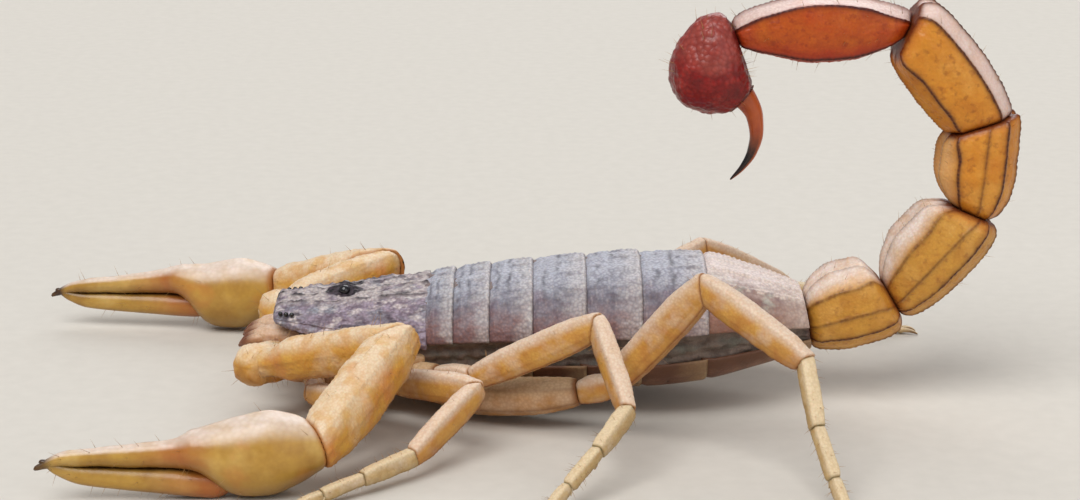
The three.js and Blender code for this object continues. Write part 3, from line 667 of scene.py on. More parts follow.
FINISHES = {
    # Grainy dark mauve shell of the head, blotched cream, grey green and black, with black round the eyes.
    "shield": Chitin(
        "granular_head_chitin", "#a392a0", "#54434f", "#cabdb8", "#0e090b", "#b8aca0", "#54423f",
        roughness=0.5, mottle_mm=0.8, mottle_share=0.8, grain_mm=0.2, grain_depth_mm=0.045, grain_shade=0.5,
        coat=0.0,
        blotches=(Blotch("#8a979a", (1.6, 1.1, 1.1), 0.6),
                  Blotch("#e4d6d0", (1.0, 0.6, 0.6), 0.75, 0.51, 0.63),
                  Blotch("#2e2230", (1.3, 0.5, 0.5), 0.85, 0.56, 0.66)),
    ),
    # Grainy blue-grey plates of the back, with paler rims and clouds, mauve stains and fine pale wrinkles.
    # Their pale upper colour is a painted highlight.
    "back": Chitin(
        "granular_back_chitin", "#85808a", "#504a55", "#b8b8c2", "#2e2a31", "#d2c9c4", "#86635f",
        roughness=0.5, mottle_mm=0.7, mottle_share=0.85, grain_mm=0.18, grain_depth_mm=0.045, grain_shade=0.4,
        coat=0.0,
        blotches=(Blotch("#aeb0b8", (1.6, 1.2, 1.2), 0.65),
                  Blotch("#836874", (1.7, 1.4, 1.4), 0.55, 0.53, 0.66),
                  Blotch("#c8bcb4", (0.2, 0.9, 0.9), 0.4, 0.52, 0.75)),
    ),
    # The last plate of the back: mauve brown sides under a rosy white top, clouded grey green.
    "back_end": Chitin(
        "pale_topped_back_chitin", "#a4897f", "#745a58", "#e2d2cb", "#e0cfc2", "#e0cfc2", "#8e6250",
        roughness=0.46, mottle_mm=0.9, mottle_share=0.8, grain_mm=0.18, grain_depth_mm=0.04, grain_shade=0.3,
        coat=0.0,
        blotches=(Blotch("#bcc2b4", (1.6, 1.0, 1.0), 0.6, 0.5, 0.62),
                  Blotch("#6d5460", (1.6, 0.4, 0.4), 0.5, 0.54, 0.68)),
    ),
    # Soft folded skin between the plates: dull and grey brown, with painted shade in the hollows between its
    # grains.
    "soft_skin": Chitin(
        "pleural_membrane", "#7d6c60", "#4a3c38", "#857470", "#241817", "#5b4540", "#5b4540", roughness=0.62,
        mottle_mm=0.7, grain_mm=0.1, through=0.1, coat=0.0,
        blotches=(Blotch("#7c6a60", (0.12, 1.0, 1.0), 0.6), Blotch("#6d7268", (1.5, 0.8, 0.8), 0.6)),
    ),
    # Smooth tan shell of the belly, breast and hips.
    "breast": Chitin(
        "smooth_breast_chitin", "#b9854c", "#94653a", "#d3b28a", "#6e4526", "#7a4c2a", "#6e4526",
        roughness=0.46, mottle_mm=1.2, grain_shade=0.3,
        blotches=(Blotch("#d8bca0", 1.8, 0.6),),
    ),
    # Thin brown shell of the belly, darker where it bends up the sides.
    "belly": Chitin(
        "smooth_belly_chitin", "#8a6046", "#5a3a2c", "#7d5f50", "#3f2823", "#b09068", "#5e3a24",
        roughness=0.46, mottle_mm=1.0,
        blotches=(Blotch("#6e4038", 1.6, 0.6),),
    ),
    # Polished rosy tan jaws, netted brown, with dark teeth.
    "jaw": Chitin(
        "jaw_chitin", "#cb9a70", "#9a6444", "#dcb898", "#6a3a22", "#a56a50", "#3a1c12", roughness=0.4,
        mottle_mm=0.6,
        blotches=(Blotch("#e0c6b4", 0.9, 0.6), Blotch("#7a4630", (0.5, 0.25, 0.25), 0.7, 0.54, 0.66)),
    ),
    # Golden shell of the arms, orange underneath, blotched orange and rose straw, with a painted highlight on
    # top.
    # Their keel colour also paints shade along their undersides.
    "arm": Chitin(
        "keeled_arm_chitin", "#d8a446", "#c47e30", "#e8d0ae", "#864a1c", "#a86c34", "#8a4a20", roughness=0.44,
        mottle_mm=1.3, mottle_share=0.7, grain_depth_mm=0.03, coat=0.05,
        blotches=(Blotch("#dfc2a0", 2.0, 0.65), Blotch("#d08244", 2.4, 0.65, 0.53, 0.64)),
    ),
    # Polished golden shell of the hands, redder at the roots of the fingers and black at their ends.
    # A painted highlight lies along their tops, and painted shade in the keel colour under them and along the
    # jaw line.
    "hand": Chitin(
        "polished_hand_chitin", "#c2953e", "#a2722a", "#e6d2c2", "#38200e", "#b8783c", "#a85822",
        roughness=0.34, mottle_mm=1.8, mottle_share=0.7, grain_mm=0.3, grain_depth_mm=0.015, grain_shade=0.15,
        coat=0.15, shine=0.4,
        blotches=(Blotch("#dcb668", 2.8, 0.6), Blotch("#c88238", 2.2, 0.5, 0.54, 0.66)),
    ),
    # Thin tan shell of the legs, orange below, blotched rose straw, with a painted highlight on top.
    # Their keel colour also paints shade along their undersides.
    "leg": Chitin(
        "leg_chitin", "#d29e4c", "#b87636", "#e4ccb4", "#7e4824", "#a8764a", "#b4743c", roughness=0.46,
        mottle_mm=1.0, mottle_share=0.7, grain_depth_mm=0.025, coat=0.0,
        blotches=(Blotch("#dcc2ac", 1.5, 0.5), Blotch("#c47a3a", 1.9, 0.5, 0.54, 0.66)),
    ),
    # Thinnest straw shell of the shins and feet.
    # A painted highlight lies on top, and the keel colour paints shade underneath.
    "foot": Chitin(
        "foot_chitin", "#cfaf7c", "#b08c56", "#e2cba6", "#8f7748", "#94805a", "#5e3a1e", roughness=0.48,
        mottle_mm=0.7, mottle_share=0.8, grain_mm=0.14, coat=0.0,
        blotches=(Blotch("#d8c4ae", 1.2, 0.6),),
    ),
    # Soft dull shell of the combs.
    "comb": Chitin(
        "comb_chitin", "#d0b78e", "#b29468", "#e2d2b2", "#a58a60", "#bda078", "#e2d2b2", roughness=0.6,
        mottle_mm=0.8, coat=0.0,
    ),
    # Amber shell of the tail, light through its flat sides, speckled darker, with burnt keels.
    # Its pale upper colour, on the third ring's back, is a painted highlight.
    "tail": Chitin(
        "amber_tail_chitin", "#d68c28", "#bb6c1a", "#e6b06e", "#451c0a", "#5e2412", "#b84e1a", roughness=0.38,
        mottle_mm=1.1, grain_shade=0.16, through=0.2, coat=0.05,
        blotches=(Blotch("#e2a244", 1.7, 0.6), Blotch("#8e4a18", 0.4, 0.5, 0.56, 0.7)),
    ),
    # The same on the first rings, whose upper faces take a pale painted highlight.
    "tail_pale": Chitin(
        "pale_backed_tail_chitin", "#d0963a", "#b27228", "#ecdcd0", "#451c0a", "#5e2412", "#b4531e",
        roughness=0.4, mottle_mm=0.9, grain_depth_mm=0.025, grain_shade=0.2, through=0.2, coat=0.05,
        blotches=(Blotch("#e0aa58", 1.7, 0.6), Blotch("#8e4f20", 0.4, 0.5, 0.56, 0.7)),
    ),
    # Orange red shell of the last tail ring, deepest red towards both ends, its underside paled by a painted
    # highlight.
    "tail_end": Chitin(
        "red_tail_chitin", "#bc540f", "#98340a", "#e6ccc2", "#3e0e0a", "#4a1810", "#b03010", roughness=0.38,
        mottle_mm=1.2, grain_shade=0.2, through=0.15, coat=0.05,
        blotches=(Blotch("#d4741a", 1.8, 0.6), Blotch("#b83c10", (2.2, 0.9, 0.9), 0.5),
                  Blotch("#7e2010", 0.4, 0.5, 0.56, 0.7)),
    ),
    # Bumpy polished crimson shell of the sting's bulb, with a rosy painted highlight on its top.
    "bulb": Chitin(
        "crimson_bulb_chitin", "#8a0f0c", "#5c0608", "#b05a4c", "#4e0c12", "#5a1410", "#8f3a20",
        roughness=0.3, mottle_mm=0.9, mottle_share=0.8, grain_mm=0.3, grain_depth_mm=0.09, grain_shade=0.4,
        through=0.05,
        blotches=(Blotch("#a82c22", 0.7, 0.6, 0.53, 0.66),),
    ),
    # Hard shell of the sting, orange brown at its root and black at its point.
    "sting": Chitin(
        "hard_sting_chitin", "#b0501e", "#8c3016", "#b8582a", "#5e2414", "#96321a", "#0d0807", roughness=0.22,
        mottle_mm=1.0, grain_mm=0.5, grain_depth_mm=0.004, grain_shade=0.05, coat=0.4,
    ),
    # Clear dark lens of an eye.
    "eye": Chitin(
        "black_lens_cuticle", "#0b090b", "#120d10", "#141014", "#050405", "#1c1414", "#050405",
        roughness=0.12, mottle_mm=0.5, grain_mm=0.5, grain_depth_mm=0.0, grain_shade=0.0, through=0.0,
        coat=0.2, shine=0.5,
    ),
    # Straw to brown bristles.
    "bristle": Chitin(
        "bristle_chitin", "#b98d58", "#8c6238", "#d8bc8e", "#8c6238", "#8c6238", "#6a4424", roughness=0.4,
        mottle_mm=2.0, grain_depth_mm=0.0, grain_shade=0.0, through=0.0,
    ),
}
# The fourth ring's underside takes a pale painted highlight, rosier than the one on the third's back.
FINISHES["tail_painted_belly_highlight"] = replace(FINISHES["tail"], name="rosy_bellied_tail_chitin", top="#e9cfc4")


@dataclass
class Bench:
    """Where finished pieces go: the animal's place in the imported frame, and the finishes."""

    origin: Vector
    materials: dict[str, bpy.types.Material]

    def add(self, mesh: bmesh.types.BMesh, name: str, slot: str, nodes: Sequence[str] = (),
            finish: str | None = None) -> bpy.types.Object:
        """Turns a mesh in the animal's frame into a piece of the model.

        Args:
            mesh: The mesh in mm.
            name: The piece's name.
            slot: Its material slot in the record.
            nodes: The CAD nodes that it stands for.
            finish: The finish's name, where it isn't the slot's.

        Returns:
            The piece.
        """
        bmesh.ops.recalc_face_normals(mesh, faces=mesh.faces)
        for vert in mesh.verts:
            vert.co.z = max(vert.co.z, 0.0)
        bmesh.ops.translate(mesh, verts=mesh.verts, vec=self.origin)
        bmesh.ops.scale(mesh, verts=mesh.verts, vec=(MM, MM, MM))
        for face in mesh.faces:
            face.smooth = True
        data = bpy.data.meshes.new(name)
        mesh.to_mesh(data)
        mesh.free()
        data.materials.append(self.materials[finish or slot])
        piece = bpy.data.objects.new(name, data)
        bpy.context.scene.collection.objects.link(piece)
        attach(piece, "root")
        if nodes:
            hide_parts(*nodes)
        LOG.info("%s: %d faces", name, len(data.polygons))
        return piece

    def wrap(self, bodies: Sequence["Body | Plate"], step: float, name: str, slot: str,
             nodes: Sequence[str] = (), finish: str | None = None) -> None:
        """Wraps bodies as one piece of the model.

        Args:
            bodies: The bodies.
            step: About how wide their faces are, in mm.
            name: The piece's name.
            slot: Its material slot in the record.
            nodes: The CAD nodes that it stands for.
            finish: The finish's name, where it isn't the slot's.
        """
        mesh = blank()
        for body in bodies:
            body.wrap(mesh, step)
        self.add(mesh, name, slot, nodes, finish)


def limb(start: Vector, end: Vector, size: "Size", outline: Outline = ROUND, joints: Sequence[Joint] = (),
         surface: Surface = Surface(), ends: float = 0.75) -> Body:
    """A straight length of a limb with domed ends.

    Args:
        start: Its first joint.
        end: Its second joint.
        size: Its width, height and form.
        outline: The outline of its cuts.
        joints: The planes that it ends at.
        surface: What stands on it and how it is painted.
        ends: How far it bulges past each joint, in shares of half its height.

    Returns:
        The length.
    """
    along = end - start
    way, length = along.normalized(), along.length
    bulge = ends * size.height / 2
    first, last = size.form[0], size.form[-1]
    stations = [
        *((-reach * bulge, share * first[1], share * first[2]) for reach, share in DOME),
        *((at * length, width, height) for at, width, height in size.form),
        *((length + reach * bulge, share * last[1], share * last[2]) for reach, share in reversed(DOME)),
    ]
    rows = [(start + way * at, width * size.width / 2, height * size.height / 2)
            for at, width, height in stations]
    return Body(rows, outline, UP, joints, surface)


def horn(points: Sequence[Vector], radii: Sequence[float], outline: Outline = ROUND, up: Vector = UP,
         joints: Sequence[Joint] = (), surface: Surface = Surface(), flat: float = 1.0) -> Body:
    """A body along a curved row of points, with domed ends.

    Args:
        points: The middles of its cuts.
        radii: The radius at each.
        outline: The outline of its cuts.
        up: The way that the outline's top faces.
        joints: The planes that it ends at.
        surface: What stands on it and how it is painted.
        flat: Its width as a share of its height.

    Returns:
        The horn.
    """
    before = (points[0] - points[1]).normalized()
    after = (points[-1] - points[-2]).normalized()
    rows = [
        *((points[0] + before * (reach * radii[0]), share * radii[0]) for reach, share in DOME),
        *zip(points, radii),
        *((points[-1] + after * (reach * radii[-1]), share * radii[-1]) for reach, share in reversed(DOME)),
    ]
    return Body([(point, radius * flat, radius) for point, radius in rows], outline, up, joints, surface)


def bend(start: Vector, middle: Vector, end: Vector, count: int) -> list[Vector]:
    """Evenly spread points on the curve from `start` to `end` that leans on `middle`."""
    shares = [i / (count - 1) for i in range(count)]
    return [start * (1 - t) ** 2 + middle * (2 * t * (1 - t)) + end * t * t for t in shares]


@dataclass(frozen=True)
class Size:
    """The size of a length of limb in mm, and its form: place along it, width and height in shares."""

    width: float
    height: float
    form: tuple[Row, ...]

    def scaled(self, share: float) -> "Size":
        """The same form, larger or smaller."""
        return Size(self.width * share, self.height * share, self.form)


@dataclass(frozen=True)
class Hip:
    """A hip piece, curved from the breast out to the joint with its limb, given for the right side."""

    start: Row
    bow: Row
    end: Row
    radius: float

    def joint(self, side: Side, onward: Vector) -> Joint:
        """Its joint with the limb that goes on to a point."""
        end = side.point(self.end)
        return Joint.between(end, end - side.point(self.bow), onward - end)

    def body(self, side: Side, onward: Vector) -> Body:
        """The hip piece on one side, up to its joint.

        Args:
            side: The side of the animal.
            onward: Where the limb goes on to.

        Returns:
            The hip piece.
        """
        start, bow, end = (side.point(point) for point in (self.start, self.bow, self.end))
        form = HIP_LONG if (end - start).length > HIP_LONG_FROM else HIP_SHORT
        # A painted highlight runs along the hip's upper side.
        surface = Surface(rim_depth=0.12, top=above(0.3, 0.3), grain=0.03, grain_size=0.35)
        return horn(bend(start, bow, end, len(form)), [share * self.radius for share in form], HIP_OUTLINE,
                    joints=[self.joint(side, onward).reversed()], surface=surface)


DOME = ((1.0, 0.0), (0.9, 0.42), (0.55, 0.8))
HIP_SHORT = (0.85, 1.05, 1.0, 0.7)
HIP_LONG = (0.85, 1.0, 1.05, 1.0, 0.95, 0.7)
HIP_LONG_FROM = 5.0
HIP_OUTLINE = oval((0.5, 0.87), (0.87, 0.5), keels={2: (0.05, 0.12, 0.35), 4: (0.05, 0.12, 0.5)})
LEG_HIPS = (
    Hip((-12.6, 1.2, 2.1), (-12.9, 2.8, 2.1), (-12.8, 4.4, 2.2), 0.95),
    Hip((-10.6, 1.4, 2.0), (-10.4, 3.6, 2.2), (-10.2, 5.2, 2.6), 1.0),
    Hip((-8.6, 1.5, 1.9), (-7.4, 4.0, 2.2), (-5.8, 5.1, 2.9), 0.95),
    Hip((-6.6, 1.5, 1.7), (-4.0, 5.7, 1.3), (2.2, 6.4, 2.35), 1.15),
)
ARM_HIP = Hip((-12.9, 1.4, 2.7), (-14.2, 2.2, 2.9), (-14.8, 3.4, 3.4), 1.3)


@dataclass
class Plate:
    """A shell plate over part of a trunk ring: closed, thin, tucked in front and proud behind.

    Its ends are places along X, and `outline` runs from its midline to its side edge. `bead` is the height of
    the row of beads at its rear, `fold` that of the fold and wrinkles across it, and `slits` the place on the
    outline and the size of its breathing slits.
    """

    front: float
    rear: float
    outline: Outline
    section: Callable[[float], Row]
    up: Vector = field(default_factory=lambda: UP.copy())
    joints: Sequence[Joint] = ()
    half_thick: float = 0.1
    tuck: float = 0.26
    proud: float = 0.07
    grain: float = 0.05
    bead: float = 0.0
    fold: float = 0.0
    slits: tuple[float, float] | None = None
    grain_size = 0.3
    bead_size = 0.3
    slit_depth = 0.15
    tuck_length = 0.8

    def place(self) -> Place:
        """The function from shares along and round the folded plate to a place and its masks."""
        beside, section = cache(self.outline.beside), cache(self.section)
        length = self.rear - self.front
        turn = 1 if self.up.z > 0 else -1

        def point(share: float, around: float) -> tuple[Vector, Masks]:
            """A place on the plate and its masks.

            Args:
                share: How far along the plate, as a share of its length.
                around: How far round it: the first half of the way is outside and the other inside.

            Returns:
                The place, and the masks in the order of `Mask`.
            """
            across = 4 * around - 1 if around <= 0.5 else 3 - 4 * around
            face = 1 if 0 < around < 0.5 else -1
            edge = beside(abs(across), 1 if across >= 0 else -1)
            ahead = share * length
            half, middle, height = section(self.front + ahead)
            girth = self.outline.girth * (half + height) / 2
            rim = min(ahead, length - ahead, (1 - abs(across)) * girth)
            round_off = math.sqrt(max(0.0, 1 - (1 - min(rim / (2 * self.half_thick), 1)) ** 2))
            lift = self.proud * ease(0.3, 1.0, share)
            lift -= self.tuck * (1 - ease(0.0, self.tuck_length, ahead))
            lift += face * self.half_thick * round_off
            spot = Vector((self.front + ahead, turn * edge.y * half, middle + turn * edge.z * height))
            keel = 0.0
            if face > 0:
                relief, keel = self.relief(spot, edge, ahead, length - ahead, girth)
                lift += relief * round_off
            spot += Vector((0, turn * edge.out_y, turn * edge.out_z)) * lift
            for joint in self.joints:
                inside = (spot - joint.point).dot(joint.inward)
                if inside < 0:
                    spot.x -= inside / joint.inward.x
            ragged = 0.12 * noise.noise(Vector((0.4 * spot.x, spot.y, spot.z)) / 0.35)
            behind = length - ahead + ragged
            pale = (1 - ease(0.1, 0.5, behind)) * (0.65 + 0.7 * noise.noise(spot / 0.4))
            pale = max(pale, 0.5 * (1 - ease(0.3, 0.5 * length, behind + 3 * ragged)))
            low = ease(0.5, 0.9, abs(across) + ragged)
            # The middle of the outer face takes the upper colour, on the back's blue-grey plates a painted
            # highlight.
            return spot, (keel, pale, 1 - ease(0.2, 0.6, abs(across) + ragged), low)

        return point

    def relief(self, spot: Vector, edge: Edge, ahead: float, behind: float,
               girth: float) -> tuple[float, float]:
        """What stands on its outer face, and how far that is painted as a keel.

        Args:
            spot: The place on the animal.
            edge: The place on the outline.
            ahead: How far its front edge is.
            behind: How far its rear edge is.
            girth: The length of its outline.

        Returns:
            The height in mm and the share of the keel's colour.
        """
        grown = ease(0.25, 0.75, ahead)
        lift = self.grain * grown * grains(spot, self.grain_size)
        share = ahead / (ahead + behind)
        if self.fold:
            wrinkle = noise.noise(Vector((spot.x / 0.2, spot.y / 1.6, spot.z / 1.6)))
            broad = noise.noise(spot / 0.8)
            lift += self.fold * (0.5 * wrinkle + 0.7 * broad + 0.9 * bell(share - 0.42, 0.09))
            grown *= ease(0.4, 0.6, share) * (1 - ease(0.85, 0.97, share))
        keel = self.wrinkles(spot, edge, share) if self.fold else 0.0
        for number, (at, height, width, darkness) in enumerate(self.outline.keels):
            away = abs(edge.down - at) * girth + 0.06 * noise.noise(spot / 0.3)
            if away < 3 * width:
                bead = 0.5 + 0.5 * math.cos(2 * math.pi * ahead / self.bead_size + 2.4 * number)
                lift += height * bell(away, width) * (0.45 + 0.55 * bead) * grown
                broken = ease(-0.25, 0.15, noise.noise(Vector((spot.x / 0.45, spot.y / 0.2, spot.z / 0.2))))
                keel = max(keel, darkness * bell(away - width, width) * grown * broken)
        if self.bead:
            row = bell(behind - 0.2, 0.1)
            turn = math.pi * edge.down * girth / self.bead_size
            lift += self.bead * row * (0.4 + 0.6 * math.cos(turn) ** 2)
        if self.slits:
            at, size = self.slits
            slit = bell((edge.down - at) * girth, size) * bell(ahead - 0.45 * (ahead + behind), 0.22 * size)
            lift -= self.slit_depth * slit
            keel = max(keel, slit)
        return lift, keel

    @staticmethod
    def wrinkles(spot: Vector, edge: Edge, share: float) -> float:
        """How dark the broken wrinkles across a plate are, before and behind its fold.

        Args:
            spot: The place on the animal.
            edge: The place on the outline.
            share: The place along the plate.

        Returns:
            The darkness as a share.
        """
        stray = share + 0.06 * noise.noise(spot / 0.8) + 0.1 * edge.down ** 2
        lines = 0.8 * bell(stray - 0.3, 0.035) + bell(stray - 0.53, 0.04) + 0.6 * bell(stray - 0.72, 0.03)
        broken = ease(-0.2, 0.25, noise.noise(spot / 0.9 + UP * 5))
        return 0.75 * lines * broken * (1 - ease(0.3, 0.75, edge.down))

    def wrap(self, mesh: bmesh.types.BMesh, step: float) -> None:
        """Adds the plate to a mesh, with faces of about `step` mm."""
        half, _, height = self.section((self.front + self.rear) / 2)
        sides = 4 * round(self.outline.girth * (half + height) / 2 / step)
        wrap(mesh, self.place(), round((self.rear - self.front) / step), sides)


BACK_HALF = ((0, 1.0), (0.06, 0.985), (0.3, 0.95), (0.36, 0.95), (0.42, 0.92), (0.68, 0.78), (0.88, 0.5),
             (0.98, 0.2), (0.985, 0.04))


@dataclass
class Trunk:
    """The trunk: soft skin, seven back plates, five belly plates and two combs.

    The cuts are (place along X, half width, height of the back, height of the belly). The skin has its own
    ones at the neck and at its end, which lies well under the last plate.
    """

    cuts: tuple[Row, ...] = (
        (-6.5, 4.6, 7.3, 1.6), (-2.9, 4.95, 7.8, 1.55), (1.0, 5.25, 8.15, 1.5), (5.9, 5.3, 8.5, 1.4),
        (9.7, 4.75, 8.45, 1.75), (12.5, 3.85, 7.75, 2.4), (16.4, 2.1, 6.2, 3.45),
    )
    neck: tuple[Row, ...] = (
        (-15.0, 1.5, 5.4, 3.4), (-13.2, 2.6, 5.9, 2.4), (-11.0, 3.3, 6.2, 2.1), (-8.8, 3.9, 6.5, 2.0),
    )
    skin_end: tuple[Row, ...] = ((12.5, 3.75, 7.6, 2.5), (16.4, 1.65, 5.7, 3.85))
    edges: tuple[float, ...] = (-6.5, -5.0, -2.9, -0.4, 2.7, 5.9, 9.7, 16.1)
    belly_edges: tuple[float, ...] = (-3.4, -0.4, 2.7, 5.9, 9.7, 16.0)
    overlap: float = 0.4
    comb_root: Row = (-4.6, 1.2, 0.95)
    comb_end: Row = (0.6, 4.0, 1.4)
    comb_bar: Size = Size(0.9, 0.6, ((0, 0.8, 1), (0.5, 1, 1), (1, 0.5, 0.9)))
    teeth: int = 24
    tooth: float = 0.75
    back: Outline = Outline(BACK_HALF, {0: (0.1, 0.1, 0.6), 3: (0.1, 0.1, 0.6), 5: (0.07, 0.09, 0.4)})
    back_end: Outline = Outline(BACK_HALF, {0: (0.08, 0.1, 0.8), 3: (0.12, 0.11, 1.0), 5: (0.12, 0.11, 1.0)})
    belly: Outline = Outline([(0, 1), (0.3, 0.985), (0.6, 0.9), (0.82, 0.68), (0.89, 0.44)])
    soft: Outline = Outline(
        [(0, 0.95), (0.35, 0.9), (0.62, 0.74), (0.83, 0.44), (0.93, 0.14), (0.92, 0.02), (0.85, -0.12),
         (0.87, -0.24), (0.82, -0.36), (0.83, -0.46), (0.72, -0.7), (0.5, -0.87), (0, -0.95)],
    )

    def section(self, at: float) -> Row:
        """Half the width, the height of the middle and half the height, at a place along X."""
        half, back, belly = self.shape(at)
        return half, (back + belly) / 2, (back - belly) / 2

    def __post_init__(self) -> None:
        """Lays a curve through the cuts."""
        self.shape = Curve([cut[0] for cut in self.cuts], [cut[1:] for cut in self.cuts])

    def skin(self) -> Body:
        """The soft skin that the plates lie on, from under the head shield to the tail."""
        cuts = [*self.neck, *self.cuts[:-2], *self.skin_end]
        surface = Surface(grain=0.1, grain_size=0.45, lump=0.22, lump_size=0.7, rim_width=0.35,
                          rim_depth=0.05, top=above(0.4, 0.3))
        return Body(upright(cuts, 0.2, 0.1), self.soft, joints=self.tail_joint(), surface=surface)

    @staticmethod
    def tail_joint() -> list[Joint]:
        """The joint with the tail, facing back into the trunk."""
        return [Tail().joints()[0].reversed()]

    def back_plate(self, number: int) -> Plate:
        """A plate of the back, counted from 1. The last one has stronger keels and no fold."""
        front, rear = self.edges[number - 1] - self.overlap, self.edges[number]
        if rear == self.edges[-1]:
            return Plate(front, rear, self.back_end, self.section, joints=self.tail_joint(), bead=0.06)
        return Plate(front, rear, self.back, self.section, bead=0.06, fold=0.07)

    def belly_plate(self, number: int) -> Plate:
        """A plate of the belly, counted from 1. The last one has no breathing slits."""
        front, rear = self.belly_edges[number - 1] - self.overlap, self.belly_edges[number]
        last = rear == self.belly_edges[-1]
        return Plate(front, rear, self.belly, self.section, up=-UP, joints=self.tail_joint() if last else (),
                     grain=0.0, tuck=0.2, proud=0.03, slits=None if last else (0.62, 0.4))

    def build(self, bench: Bench) -> None:
        """Adds the skin, the plates and the combs.

        Args:
            bench: Where they go.
        """
        bench.wrap([self.skin()], 0.14, "trunk_soft_skin", "back", finish="soft_skin")
        for number in range(1, len(self.edges)):
            finish = "back_end" if number == len(self.edges) - 1 else None
            bench.wrap([self.back_plate(number)], 0.09, f"back_plate_{number}", "back",
                       [f"mesosoma_{number}"], finish)
        bench.wrap([self.belly_plate(number) for number in range(1, len(self.belly_edges))], 0.12,
                   "belly_plates", "back", finish="belly")
        for side in Side:
            self.comb(bench, side)

    def comb(self, bench: Bench, side: Side) -> None:
        """Adds a comb: a bar and its row of blunt teeth, which get shorter outward.

        Args:
            bench: Where it goes.
            side: Its side of the animal.
        """
        start, end = side.point(self.comb_root), side.point(self.comb_end)
        along = end - start
        inward = along.cross(UP).normalized() * side.value
        mesh = blank()
        limb(start, end, self.comb_bar, surface=Surface(grain=0.03), ends=0.2).wrap(mesh, 0.09)
        for i in range(self.teeth):
            share = 0.04 + 0.94 * i / (self.teeth - 1)
            root = start + along * share + inward * 0.2
            tip = root + inward * (self.tooth * (1 - 0.35 * share))
            horn([root, root.lerp(tip, 0.6), tip], [0.1, 0.115, 0.07]).wrap(mesh, 0.07)
        bench.add(mesh, f"comb_{side.label}", "comb", [f"pecten_{side.label}"])


